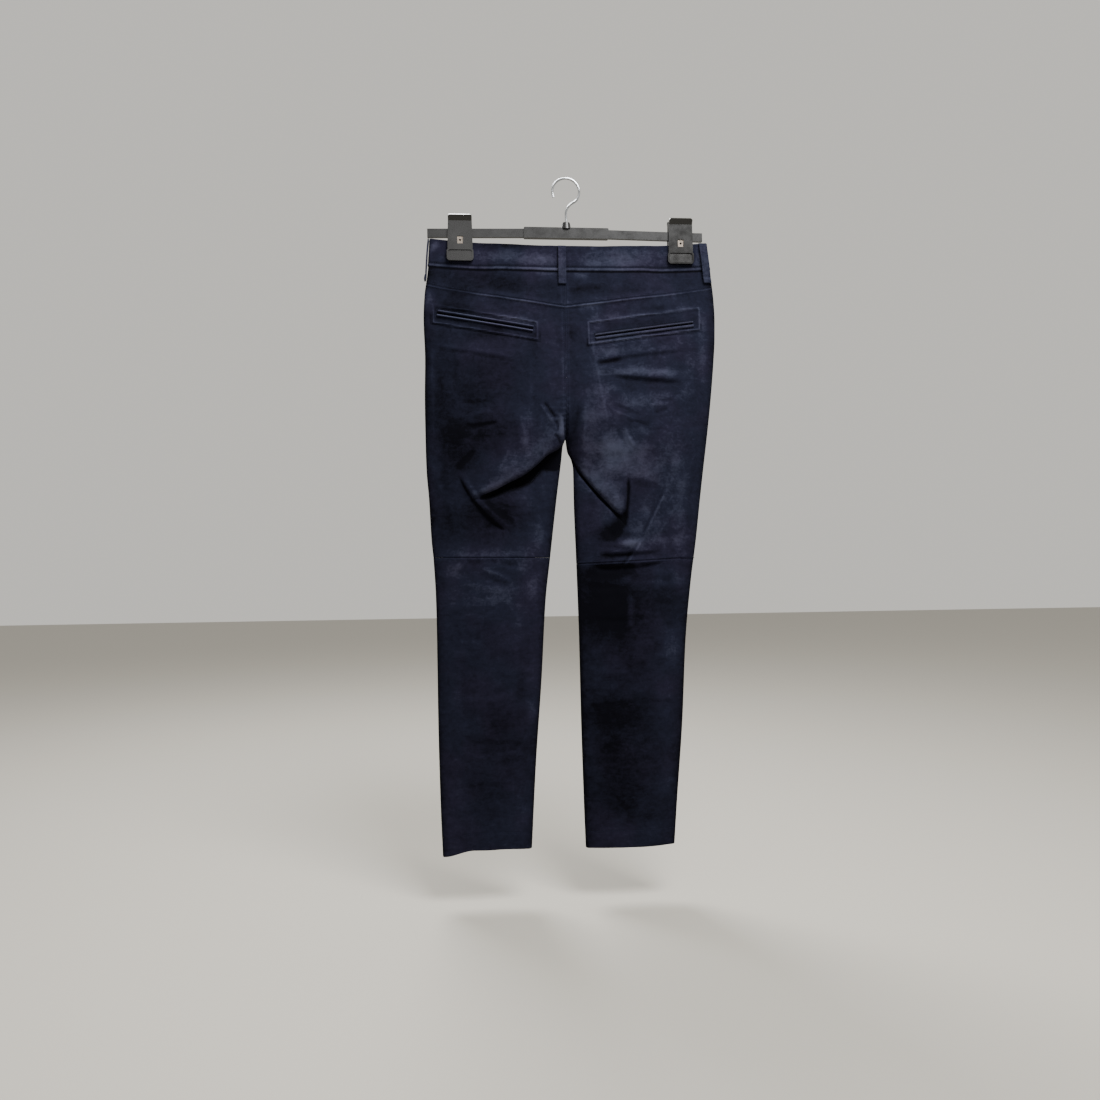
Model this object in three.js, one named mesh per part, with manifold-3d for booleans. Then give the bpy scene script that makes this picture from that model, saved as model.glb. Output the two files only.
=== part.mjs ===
// Slim suede trousers hanging by the waistband from a clip hanger, back outwards.
// Units are millimetres. +Z is up, -Y is the side the back of the trousers faces, and -X is the wearer's left.
// The origin is the underside of the hook's arch, where a rail carries the hanger.
import * as THREE from 'three';
import { mergeVertices } from 'three/addons/utils/BufferGeometryUtils.js';
import Module from 'manifold-3d';

const wasm = await Module();
wasm.setup();

// Cloth walls and seams
const LEATHER = 1.2;
const BAND_WALL = 2.6;
const BAND_PROUD = 0.8;
const HEM_WALL = 2.4;
const HEM_DEPTH = 26;
const SEAM_GAP = 0.3;
const EDGE_RADIUS = 3.5;
const LENS_POWER = 0.75;

// Heights of the seams, below the hook
const CROTCH_Z = -405;
const BAND_TOP = { centre: -105.5, side: -96 };
const BAND_FOOT = { centre: -145.2, side: -138.8 };
const YOKE_SEAM = { centre: -201.3, side: -166 };
const KNEE_SEAM = { left: { outer: -585, inner: -587 }, right: { outer: -589, inner: -597 } };
const HEM = {
  left: { z: -1033, outerDroop: 10.5, innerDroop: 2 },
  right: { z: -1036.8, outerDroop: -1, innerDroop: 0.5 },
};
const HEM_CORNER = 0.36;

// Centre lines: the trousers sit turned a little on the hanger, so the front's runs from 8 to the crotch
const CENTRE_X = -5;
const FRONT_CENTRE_TOP_X = 8;
const SILHOUETTE_CENTRE_X = 6;
const WAIST_HALF = 215;

// The fly and the waistband's lap, wearer's left over right
const FLY_END_Z = -285;
const FLY_LAP = 10;
const BAND_LAP = 30;
const LAP_CLEARANCE = 0.4;

// Hanger
const WIRE_RADIUS = 1.8;
const HOOK_RADIUS = 21;
const BAR = { half: 214, z: -85, height: 13, thick: 6, droop: 2.5 };
const HUB = { half: 66, top: -76, foot: -92.5, thick: 9, bossRadius: 6, bossTop: -68 };
const CLIP_X = { left: -164, right: 179 };
const PINCH_DEPTH = 2.2;
const PINCH_HALF_WIDTH = 24;
const JAW = {
  width: 41, padHeight: 19, padFoot: -130.5, padThick: 4.6, rim: 2.4, dish: { foot: 1, top: 1.6 },
  plateThick: 3.3, slotDeep: 2.2, neck: 38.5, top: -58, flare: 7,
};
const SLOT = { width: 10, foot: -106.5, top: -69 };
const WINDOW = { width: 9, foot: -104, top: -92.5 };
const SPRING = { width: 8.6, thick: 1, legY: 4.9, foot: -105.5, bendZ: -76, holeRadius: 1.7, holeZ: -98.3 };

const SIGN = { left: -1, right: 1 };
const FACE = { back: -1, front: 1 };

// Rows of a short table become objects with the named columns
function table(columns, rows) {
  const names = columns.split(' ');
  return rows.map((row) => Object.fromEntries(names.map((name, i) => [name, row[i]])));
}

const SIDE_SEAM = {
  left: table('z x', [
    [-96, -210], [-145, -213.8], [-185, -219.5], [-220, -221.2], [-280, -219.5], [-343, -220.6], [-404, -220.2],
    [-450, -219.2], [-496, -215.8], [-558, -212.7], [-588, -210], [-650, -206.9], [-712, -206], [-834, -205.5],
    [-957, -203.4], [-1044, -200.5],
  ]),
  right: table('z x', [
    [-96, 221], [-145, 227], [-185, 231.6], [-216, 233.2], [-248, 232.8], [-279, 230.9], [-342, 225.4],
    [-404, 218.3], [-452, 212.2], [-499, 206.5], [-562, 199.3], [-624, 190.7], [-718, 181.2], [-844, 174.7],
    [-969, 164.9], [-1044, 159.5],
  ]),
};

const INSEAM = {
  left: table('z x', [
    [-405, -5.3], [-415, -9], [-436, -11.4], [-497, -19.5], [-590, -30.7], [-652, -38], [-776, -45.8],
    [-900, -55.4], [-1044, -64],
  ]),
  right: table('z x', [
    [-405, -4.7], [-423, -2.3], [-436, 3.8], [-451, 6.7], [-497, 7.1], [-590, 9.9], [-714, 13.2], [-838, 14.9],
    [-962, 17.8], [-1044, 20.3],
  ]),
};

// Fullness of the hanging cloth: half depths, the share of a sine wave across a panel, and the cleft's width
const FULLNESS = table('z back front wave cleft', [
  [-96, 7, 7, 0.5, 70], [-145, 10, 9, 0.5, 70], [-200, 16, 13, 0.5, 70], [-280, 24, 16, 0.52, 70],
  [-340, 29, 18, 0.6, 60], [-385, 31, 18, 0.74, 45], [-405, 30, 18, 0.84, 32], [-436, 25, 18, 0.95, 16],
  [-470, 21, 17, 1, 9], [-530, 18, 16, 1, 6], [-590, 17, 16, 1, 5], [-712, 16, 15, 1, 4.5],
  [-900, 14, 14, 1, 4.5], [-1044, 12, 12, 1, 4.5],
]);
const CLEFT_TOP_Z = -345;

// The fold that runs down and out from the crotch: its lip, how strong it is, and the height of the hollow under it.
// share is 0 at the side seam and 1 at the centre seam or inseam.
const CROTCH_FOLD = {
  left_back: table('share z strength hollow', [
    [0, -494, 0, 0], [0.3, -490, 0, 0], [0.44, -482, 0.35, 3], [0.515, -474.5, 0.7, 5], [0.617, -462.5, 0.9, 7],
    [0.724, -450.5, 1, 13], [0.785, -440.5, 1, 16], [0.85, -427.5, 1, 12], [0.89, -419.5, 1, 19],
    [0.973, -410.5, 0.7, 28], [1, -405, 0, 30],
  ]),
  right_back: table('share z strength hollow', [
    [0, -548, 0, 0], [0.5, -548, 0, 0], [0.6, -527, 0, 0], [0.666, -513, 0.2, 0], [0.839, -477, 0.3, 0],
    [0.94, -452, 0.25, 0], [0.977, -441, 0.12, 0], [1, -405, 0, 0],
  ]),
  left_front: table('share z strength hollow', [
    [0, -470, 0, 0], [0.3, -470, 0, 0], [0.5, -465, 0.15, 0], [0.7, -450, 0.3, 1], [0.9, -425, 0.3, 2],
    [1, -405, 0, 2],
  ]),
  right_front: table('share z strength hollow', [
    [0, -478, 0, 0], [0.35, -478, 0, 0], [0.55, -468, 0.2, 0], [0.75, -448, 0.35, 1], [0.9, -424, 0.3, 2],
    [1, -405, 0, 2],
  ]),
};
// Section through that fold at full strength: distance above the lip (in mm plus a share of the hollow), and shifts
const FOLD_SECTION = table('above hollowShare out rise', [
  [70, 0, 0, 0], [30, 0, 3, 0], [12, 0, 6, -2], [4, 0, 6, -5], [0, 0, 3, -8], [-3, 0, -5, -7], [-6, 0, -14, -1],
  [-9, 0, -21, 3], [-9.5, -0.3, -25, 0], [-10, -0.8, -24, 0], [-12, -1, -12, 0], [-16, -1, -4, 1],
  [-28, -1, -1, 0], [-42, -1, 0, 0],
]);
const LEAST_DEPTH = 1.6;

// Larger creases: a curve by its ends and its middle control point. The cloth stands out by lip on the curve's left
// hand and falls back by drop on its right hand, each dying away over its own reach.
const CREASE_COLUMNS = 'x0 z0 xm zm x1 z1 lip drop lipReach dropReach';
const CREASES = {
  back: table(CREASE_COLUMNS, [
    [87, -506, 90, -550, 58, -566, 2, 9, 14, 15], // deep dent in the right thigh, its right edge sharp
    [40, -581, 90, -585, 146, -577, 2.5, 3, 9, 7], // roll over the right knee seam
    [28, -599, 85, -603, 146, -596, 2.5, 4.5, 9, 10], // roll under it
    [-172, -455, -144, -519, -94, -548, 3, 3.5, 13, 12], // long crease down the left thigh
    [-164, -385, -135, -389, -106, -378, 1.5, 2.5, 12, 8], // seat, left
    [38, -291, 92, -277, 194, -265, 1.2, 2, 14, 8], // seat, right, under the pocket
    [58, -309, 120, -314, 182, -317, 2, 3, 12, 10], // seat, right, lower
    [30, -680, 95, -690, 165, -676, -1, 2, 26, 26], // slack in the right shin
    [-190, -705, -120, -716, -52, -700, -1, 1.6, 26, 26], // slack in the left shin
  ]),
  front: table(CREASE_COLUMNS, [
    [-60, -575, -120, -588, -190, -570, 1.5, 3, 16, 14],
    [40, -582, 110, -596, 180, -578, 1.5, 3, 16, 14],
    [-150, -360, -90, -372, -40, -400, 1, 2.5, 18, 16],
    [150, -352, 95, -368, 35, -398, 1, 2.5, 18, 16],
    [-185, -700, -120, -712, -60, -698, -1, 1.8, 26, 26],
    [35, -690, 95, -700, 160, -684, -1, 1.8, 26, 26],
  ]),
};
const CREASE_STEPS = 14;
const CREASE_BLEND = 4;
const EDGE_FADE = 14;

const POCKETS = {
  left: { inner: [-54, -237.2], outer: [-200, -211.4] },
  right: { inner: [40.8, -248.3], outer: [197, -224.1] },
};
const WELT = { height: 4, slit: 2.8, thick: 1.2 };
const LOOP = {
  width: 12.4, thick: 2, tail: 21, bulge: 2.2, sideBulge: 0.9, seat: 1.15, front: 75, rightInset: 7.5, centreInset: 3,
};
const BUTTON = { radius: 8.5, thick: 3.2, rim: 0.9, dishRadius: 5.6, aboveBandFoot: 20, fromCentre: 12 };

const clamp = (x, low, high) => Math.min(Math.max(x, low), high);
const smooth = (from, to, x) => {
  const t = clamp((x - from) / (to - from), 0, 1);
  return t * t * (3 - 2 * t);
};
const mix = (a, b, t) => a + (b - a) * t;
const arc = (q) => Math.sqrt(1 - (1 - clamp(q, 0, 1)) ** 2);

// Smooth value of a table's column at a key, with no overshoot between rows
function along(rows, key, column, at) {
  const slope = (i) => (rows[i + 1][column] - rows[i][column]) / (rows[i + 1][key] - rows[i][key]);
  const tangent = (i) => {
    if (i === 0) return slope(0);
    if (i === rows.length - 1) return slope(i - 1);
    const [a, b] = [slope(i - 1), slope(i)];
    return a * b > 0 ? (2 * a * b) / (a + b) : 0;
  };
  const rising = rows[1][key] > rows[0][key];
  const past = rows.findIndex((row) => (rising ? row[key] > at : row[key] < at));
  if (past === 0) return rows[0][column];
  if (past < 0) return rows[rows.length - 1][column];
  const i = past - 1;
  const step = rows[past][key] - rows[i][key];
  const t = (at - rows[i][key]) / step;
  const bend = t * t * (3 - 2 * t);
  const start = t * (1 - t) ** 2 * step * tangent(i);
  const end = t * t * (t - 1) * step * tangent(past);
  return mix(rows[i][column], rows[past][column], bend) + start + end;
}

const frontCentre = (z) => mix(CENTRE_X, FRONT_CENTRE_TOP_X, smooth(CROTCH_Z, BAND_FOOT.centre, z));
const outerX = (side, z) => along(SIDE_SEAM[side], 'z', 'x', z);
function innerX(side, face, z) {
  if (z < CROTCH_Z) return along(INSEAM[side], 'z', 'x', z);
  const centre = face === 'back' ? CENTRE_X : frontCentre(z);
  return centre + (SIGN[side] * SEAM_GAP) / 2;
}
const acrossWaist = (x) => ((x - SILHOUETTE_CENTRE_X) / WAIST_HALF) ** 2;
const bandTop = (x) => mix(BAND_TOP.centre, BAND_TOP.side, acrossWaist(x));
const bandFoot = (x) => mix(BAND_FOOT.centre, BAND_FOOT.side, acrossWaist(x));

// How firmly a clip presses the two layers of cloth together, from 0 to 1
function pinch(x, z) {
  const near = Math.min(...Object.values(CLIP_X).map((clip) => Math.abs(x - clip)));
  return (1 - smooth(PINCH_HALF_WIDTH, 66, near)) * smooth(-200, -142, z);
}

// Half depth of the cloth before it is creased, from the flat middle plane
function depthAt(side, face, share, x, z) {
  const full = along(FULLNESS, 'z', face, z) - EDGE_RADIUS;
  const wave = along(FULLNESS, 'z', 'wave', z);
  const width = Math.abs(outerX(side, z) - innerX(side, face, z));
  const lens = (s) => full * Math.max(0, Math.sin(Math.PI * wave * s)) ** LENS_POWER;
  const open = EDGE_RADIUS * arc((share * width) / EDGE_RADIUS) + lens(share);
  const cleft = z < CROTCH_Z ? 0 : Math.sqrt(1 - clamp((CLEFT_TOP_Z - z) / (CLEFT_TOP_Z - CROTCH_Z), 0, 1) ** 2);
  const seam = cleft * (EDGE_RADIUS + lens(1));
  const fromSeam = ((1 - share) * width) / along(FULLNESS, 'z', 'cleft', z);
  const depth = cleft === 1 ? open : seam + (open - seam) * arc(fromSeam);
  return depth - Math.max(0, depth - PINCH_DEPTH) * pinch(x, z);
}

// Signed distance from a crease's curve, positive on its left hand, and the place along it
function nearestOnCrease(row, x, z) {
  let best = { distance: Infinity, t: 0 };
  let from = [row.x0, row.z0];
  for (let i = 1; i <= CREASE_STEPS; i++) {
    const t = i / CREASE_STEPS;
    const weights = [(1 - t) ** 2, 2 * t * (1 - t), t * t];
    const to = [
      weights[0] * row.x0 + weights[1] * row.xm + weights[2] * row.x1,
      weights[0] * row.z0 + weights[1] * row.zm + weights[2] * row.z1,
    ];
    const [dx, dz] = [to[0] - from[0], to[1] - from[1]];
    const k = clamp(((x - from[0]) * dx + (z - from[1]) * dz) / (dx * dx + dz * dz), 0, 1);
    const [px, pz] = [x - from[0] - k * dx, z - from[1] - k * dz];
    const distance = Math.hypot(px, pz);
    if (distance < Math.abs(best.distance)) {
      best = { distance: distance * (dx * pz - dz * px < 0 ? -1 : 1), t: (i - 1 + k) / CREASE_STEPS };
    }
    from = to;
  }
  return best;
}

function creaseOut(face, x, z) {
  return CREASES[face].reduce((sum, row) => {
    const { distance, t } = nearestOnCrease(row, x, z);
    const upper = smooth(-CREASE_BLEND, CREASE_BLEND, distance);
    const lip = row.lip * Math.exp(-Math.max(distance, 0) / row.lipReach) * upper;
    const drop = row.drop * Math.exp(Math.min(distance, 0) / row.dropReach) * (1 - upper);
    return sum + (lip - drop) * smooth(0, 0.25, t) * smooth(1, 0.75, t);
  }, 0);
}

// Outward and upward shifts of the fold that runs from the crotch
function crotchFold(side, face, share, z) {
  const rows = CROTCH_FOLD[`${side}_${face}`];
  const strength = along(rows, 'share', 'strength', share);
  if (strength === 0) return { out: 0, rise: 0 };
  const hollow = along(rows, 'share', 'hollow', share);
  const section = FOLD_SECTION.map((row) => ({ ...row, at: row.above + row.hollowShare * hollow }));
  const above = z - along(rows, 'share', 'z', share);
  return {
    out: strength * along(section, 'at', 'out', above),
    rise: strength * along(section, 'at', 'rise', above),
  };
}

// Where the left front reaches over the right one, and where its edge is lifted to clear it
const laps = (side, face) => (side === 'left' && face === 'front' ? 1 : 0);
const lapReach = (side, face, z) => laps(side, face) * FLY_LAP * smooth(FLY_END_Z, FLY_END_Z + 25, z);
const lapLift = (side, face, z) => laps(side, face) * (LEATHER + LAP_CLEARANCE) * smooth(FLY_END_Z - 65, FLY_END_Z - 30, z);

// A point of the cloth's outer surface. share runs from the side seam to the centre seam or inseam.
function surface(side, face, share, z) {
  const [outer, inner] = [outerX(side, z), innerX(side, face, z)];
  const x = mix(outer, inner, share);
  const width = Math.abs(outer - inner);
  const fold = crotchFold(side, face, share, z);
  const atInseam = z < CROTCH_Z ? smooth(0, EDGE_FADE, (1 - share) * width) : 1;
  const fade = smooth(0, EDGE_FADE, share * width) * atInseam;
  let depth = depthAt(side, face, share, x, z);
  const creased = depth + fold.out + creaseOut(face, x, z) * fade;
  depth = Math.max(creased, Math.min(depth, LEAST_DEPTH));
  const lift = lapLift(side, face, z) * smooth(-18, -6, x - inner);
  return new THREE.Vector3(x, FACE[face] * (depth + lift + SEAM_GAP / 2), z + fold.rise);
}

// Outward normal of that surface, from its neighbours
function outward(side, face, share, z) {
  if (share <= 0) return new THREE.Vector3(SIGN[side], 0, 0);
  const [ds, dz] = [0.004, 0.6];
  const low = Math.max(share - ds, 0);
  const high = share >= 1 ? share : Math.min(share + ds, 1);
  const across = surface(side, face, high, z).sub(surface(side, face, low, z));
  const up = surface(side, face, share, z + dz).sub(surface(side, face, share, z - dz));
  const normal = across.cross(up).multiplyScalar(SIGN[side] * FACE[face]).normalize();
  if (share >= 1 && z > CROTCH_Z) normal.setX(0).normalize();
  if (share >= 1 && z <= CROTCH_Z) normal.setY(0).normalize();
  return normal;
}

// Keeps a panel's points on its own side of the seams
function keepInside(point, side, face, z, centreX) {
  point.y = FACE[face] * Math.max(FACE[face] * point.y, SEAM_GAP / 2);
  if (z > CROTCH_Z) point.x = SIGN[side] * Math.max(SIGN[side] * point.x, SIGN[side] * centreX + SEAM_GAP / 2);
  return point;
}

// A closed wall between two grids of points, facing outwards
function wall(outer, inner) {
  const [rows, columns] = [outer.length, outer[0].length];
  const positions = [...outer.flat(), ...inner.flat()].flatMap((p) => [p.x, p.y, p.z]);
  const at = (layer, r, c) => layer * rows * columns + r * columns + c;
  const index = [];
  const quad = (a, b, c, d) => index.push(a, b, c, a, c, d);
  for (let r = 0; r < rows - 1; r++) {
    for (let c = 0; c < columns - 1; c++) {
      quad(at(0, r, c), at(0, r + 1, c), at(0, r + 1, c + 1), at(0, r, c + 1));
      quad(at(1, r, c), at(1, r, c + 1), at(1, r + 1, c + 1), at(1, r + 1, c));
    }
  }
  for (let c = 0; c < columns - 1; c++) {
    quad(at(0, 0, c), at(0, 0, c + 1), at(1, 0, c + 1), at(1, 0, c));
    quad(at(0, rows - 1, c + 1), at(0, rows - 1, c), at(1, rows - 1, c), at(1, rows - 1, c + 1));
  }
  for (let r = 0; r < rows - 1; r++) {
    quad(at(0, r + 1, 0), at(0, r, 0), at(1, r, 0), at(1, r + 1, 0));
    quad(at(0, r, columns - 1), at(0, r + 1, columns - 1), at(1, r + 1, columns - 1), at(1, r, columns - 1));
  }
  return facingOut(new THREE.BufferGeometry()
    .setAttribute('position', new THREE.Float32BufferAttribute(positions, 3))
    .setIndex(index));
}

function facingOut(geometry) {
  const p = geometry.getAttribute('position');
  const index = geometry.getIndex().array;
  const corner = (i) => new THREE.Vector3().fromBufferAttribute(p, index[i]);
  let volume = 0;
  for (let i = 0; i < index.length; i += 3) volume += corner(i).dot(corner(i + 1).cross(corner(i + 2)));
  if (volume < 0) geometry.setIndex([...index].reverse());
  geometry.computeVertexNormals();
  return geometry;
}

const columnsOf = (count) => Array.from({ length: count + 1 }, (_, i) => (1 - Math.cos((Math.PI * i) / count)) / 2);
const rowsBetween = (count) => Array.from({ length: count + 1 }, (_, i) => i / count);

// A cloth panel: rows is a list of functions that give a height for a share
function panel(side, face, columns, rows, thickness = () => LEATHER) {
  const shares = columnsOf(columns);
  const reach = (z) => 1 + lapReach(side, face, z) / Math.abs(outerX(side, z) - innerX(side, face, z));
  const grid = (place) => rows.map((row) => shares.map((share) => place(share, row(share))));
  const outerPoint = (share, z) => surface(side, face, share * reach(z), z);
  const outer = grid((share, z) => limit(outerPoint(share, z), side, face, z, share * reach(z)));
  const inner = grid((share, z) => {
    const normal = outward(side, face, share * reach(z), z);
    return limit(outerPoint(share, z).addScaledVector(normal, -thickness(z)), side, face, z, share * reach(z));
  });
  return wall(outer, inner);
}

function limit(point, side, face, z, share) {
  if (share > 1) return point;
  return keepInside(point, side, face, z, face === 'back' ? CENTRE_X : frontCentre(z));
}

const seamLine = (side, face, heightAt, offset) => (share) => {
  const x = mix(outerX(side, heightAt.guess), innerX(side, face, heightAt.guess), share);
  return heightAt.of(x) + offset;
};

const half = SEAM_GAP / 2;
const bandFootLine = (side, face, offset) => seamLine(side, face, { guess: BAND_FOOT.side, of: bandFoot }, offset);
const bandTopLine = (side, face) => seamLine(side, face, { guess: BAND_TOP.side, of: bandTop }, 0);
const yokeLine = (offset) => (share) => mix(YOKE_SEAM.side, YOKE_SEAM.centre, Math.min(share, 1) ** 0.92) + offset;
const kneeLine = (side, offset) => (share) => mix(KNEE_SEAM[side].outer, KNEE_SEAM[side].inner, share) + offset;
const hemLine = (side) => (share) => {
  const { z, outerDroop, innerDroop } = HEM[side];
  const corner = (s) => 1 - smooth(0, HEM_CORNER, s);
  return z - outerDroop * corner(share) - innerDroop * corner(1 - share);
};
const between = (upper, lower, count) => rowsBetween(count).map((t) => (share) => mix(upper(share), lower(share), t));

// Rows of an upper leg panel follow the crotch fold, closely where the cloth turns under
function upperRows(side, face, top, above, below) {
  const rows = CROTCH_FOLD[`${side}_${face}`];
  const foldRow = ({ above: height, hollowShare }) => (share) => (
    along(rows, 'share', 'z', share) + height + hollowShare * along(rows, 'share', 'hollow', share)
  );
  const fold = FOLD_SECTION.slice(1).map(foldRow);
  return [
    ...between(top, fold[0], above).slice(0, -1),
    ...fold,
    ...between(fold.at(-1), kneeLine(side, half), below).slice(1),
  ];
}

const hemWall = (side) => (z) => mix(LEATHER, HEM_WALL, smooth(HEM[side].z + HEM_DEPTH + 3, HEM[side].z + HEM_DEPTH, z));
function lowerPanel(side, face) {
  const top = kneeLine(side, -half);
  const hem = hemLine(side);
  const hemTop = (share) => hem(share) + HEM_DEPTH + 3;
  const rows = [...between(top, hemTop, 9), (share) => hem(share) + HEM_DEPTH, hem];
  return panel(side, face, 10, rows, hemWall(side));
}

// The waistband runs from the centre back round the side fold to the front
function waistband(side) {
  const lap = side === 'left' ? BAND_LAP : 0;
  const besideClip = (face) => [-PINCH_HALF_WIDTH, PINCH_HALF_WIDTH].map((reach) => {
    const [outer, inner] = [outerX(side, BAND_TOP.side), innerX(side, face, BAND_TOP.side)];
    return (CLIP_X[side] + reach - outer) / (inner - outer);
  });
  const shares = (face) => [...columnsOf(12), ...besideClip(face)].sort((a, b) => a - b).slice(1);
  const columns = [
    ...shares('back').reverse().map((share) => ({ face: 'back', share })),
    { face: 'side', share: 0 },
    ...shares('front').map((share) => ({ face: 'front', share })),
    ...(lap ? [0.35, 0.7, 1].map((k) => ({ face: 'front', share: 1 + (k * lap) / WAIST_HALF })) : []),
  ];
  const place = (offset) => rowsBetween(3).map((t) => columns.map(({ face, share }) => {
    const of = face === 'side' ? 'back' : face;
    const z = mix(bandFootLine(side, of, half)(share), bandTopLine(side, of)(share), t);
    const point = surface(side, of, share, z);
    const normal = outward(side, of, share, z).setZ(0).normalize();
    if (face === 'side') point.setY(0);
    if (share >= 1) normal.set(0, FACE[of], 0);
    const overlap = smooth(-20, -4, point.x - frontCentre(z)) * (lap && face === 'front' ? 1 : 0);
    if (overlap) point.y += overlap * (BAND_WALL - LEATHER);
    return point.addScaledVector(normal, offset);
  }));
  return wall(place(BAND_PROUD), place(BAND_PROUD - BAND_WALL));
}

// Outer surface at a given x instead of a share
function surfaceAtX(face, x, z) {
  const side = x < (face === 'back' ? CENTRE_X : frontCentre(z)) ? 'left' : 'right';
  const share = (x - outerX(side, z)) / (innerX(side, face, z) - outerX(side, z));
  return { point: surface(side, face, share, z), normal: outward(side, face, share, z) };
}

// A strip of one pocket lip, lying on the panel
function welt(side, place) {
  const { inner, outer } = POCKETS[side];
  const [dx, dz] = [outer[0] - inner[0], outer[1] - inner[1]];
  const length = Math.hypot(dx, dz);
  const up = new THREE.Vector2(-dz, dx).multiplyScalar(Math.sign(dx) / length);
  const edges = [WELT.slit / 2, WELT.slit / 2 + WELT.height / 2, WELT.slit / 2 + WELT.height];
  const grid = (offset) => edges.map((edge) => rowsBetween(16).map((t) => {
    const x = inner[0] + dx * t + up.x * edge * place;
    const z = inner[1] + dz * t + up.y * edge * place;
    const { point, normal } = surfaceAtX('back', x, z);
    return point.addScaledVector(normal, offset);
  }));
  return wall(grid(SEAM_GAP + WELT.thick), grid(SEAM_GAP));
}

// A belt loop: seated at both ends, standing off between them
function beltLoop(base, normal, across, top, foot, bulge = LOOP.bulge) {
  const length = top - foot;
  const steps = [0, 0.04, 0.12, 0.25, 0.42, 0.6, 0.74, 0.86, 0.92, 1];
  const turnUnder = 0.86;
  const grid = (outside) => steps.map((t) => [-0.5, 0, 0.5].map((k) => {
    const stand = LOOP.seat + bulge * Math.sin(Math.PI * Math.min(t / turnUnder, 1)) ** 0.6;
    const thick = LOOP.thick + (t > turnUnder ? 0.8 : 0);
    const z = top - length * t;
    return base(z).clone()
      .addScaledVector(normal, stand + (outside ? thick : 0))
      .addScaledVector(across, k * LOOP.width);
  }));
  return wall(grid(true), grid(false));
}

function faceLoop(face, xAt) {
  const [normal, across] = [new THREE.Vector3(0, FACE[face], 0), new THREE.Vector3(1, 0, 0)];
  const top = bandTop(xAt(BAND_TOP.side)) - 0.5;
  const foot = bandFoot(xAt(BAND_FOOT.side)) - LOOP.tail;
  const reach = [-1, 0, 1].map((k) => (k * LOOP.width) / 2);
  const base = (z) => {
    const x = xAt(z);
    const depth = Math.max(...reach.map((dx) => {
      const inside = clamp(x + dx, outerX('left', z), outerX('right', z));
      return surfaceAtX(face, inside, z).point.y * FACE[face];
    }));
    return new THREE.Vector3(x, FACE[face] * depth, z);
  };
  return beltLoop(base, normal, across, top, foot);
}

function sideLoop() {
  const [normal, across] = [new THREE.Vector3(-1, 0, 0), new THREE.Vector3(0, 1, 0)];
  const base = (z) => new THREE.Vector3(outerX('left', z), 0, z);
  return beltLoop(base, normal, across, BAND_TOP.side - 1, BAND_FOOT.side - LOOP.tail, LOOP.sideBulge);
}

// Solids that are joined or cut
function solid(geometry, matrix = new THREE.Matrix4()) {
  const bare = geometry.clone().applyMatrix4(matrix);
  bare.deleteAttribute('normal');
  bare.deleteAttribute('uv');
  const merged = mergeVertices(bare, 1e-4);
  return new wasm.Manifold(new wasm.Mesh({
    numProp: 3,
    vertProperties: new Float32Array(merged.attributes.position.array),
    triVerts: new Uint32Array(merged.index.array),
  }));
}

function geometryOf(manifold) {
  const { vertProperties, triVerts } = manifold.getMesh();
  const geometry = new THREE.BufferGeometry()
    .setAttribute('position', new THREE.Float32BufferAttribute(vertProperties, 3))
    .setIndex([...triVerts]);
  geometry.computeVertexNormals();
  return geometry;
}

const joined = (...solids) => geometryOf(solids.reduce((sum, next) => sum.add(next)));

// A flat outline in X and Z, thickened along Y from y to y + thick
function plate(shape, y, thick, curveSegments = 4) {
  const geometry = new THREE.ExtrudeGeometry(shape, { depth: thick, bevelEnabled: false, curveSegments });
  geometry.applyMatrix4(new THREE.Matrix4().makeRotationX(Math.PI / 2));
  geometry.translate(0, y + thick, 0);
  return geometry;
}

function roundedOutline(left, foot, right, top, radius) {
  const shape = new THREE.Shape();
  shape.moveTo(left + radius, foot);
  shape.lineTo(right - radius, foot).absarc(right - radius, foot + radius, radius, -Math.PI / 2, 0);
  shape.lineTo(right, top - radius).absarc(right - radius, top - radius, radius, 0, Math.PI / 2);
  shape.lineTo(left + radius, top).absarc(left + radius, top - radius, radius, Math.PI / 2, Math.PI);
  shape.lineTo(left, foot + radius).absarc(left + radius, foot + radius, radius, Math.PI, 1.5 * Math.PI);
  return shape;
}

function hangerBar() {
  const [top, foot] = [BAR.z + BAR.height / 2, BAR.z - BAR.height / 2];
  const arms = new THREE.Shape()
    .moveTo(-BAR.half, foot - BAR.droop)
    .lineTo(-HUB.half, foot)
    .lineTo(HUB.half, foot)
    .lineTo(BAR.half, foot - BAR.droop)
    .lineTo(BAR.half, top - BAR.droop)
    .lineTo(HUB.half, top)
    .lineTo(-HUB.half, top)
    .lineTo(-BAR.half, top - BAR.droop);
  const hub = roundedOutline(-HUB.half, HUB.foot, HUB.half, HUB.top, 2);
  const boss = new THREE.CylinderGeometry(HUB.bossRadius, HUB.bossRadius + 2, HUB.bossTop - HUB.top + 2, 20);
  boss.rotateX(Math.PI / 2);
  boss.translate(0, 0, (HUB.bossTop + HUB.top - 2) / 2);
  return joined(
    solid(plate(arms, -BAR.thick / 2, BAR.thick)),
    solid(plate(hub, -HUB.thick / 2, HUB.thick)),
    solid(boss),
  );
}

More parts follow.
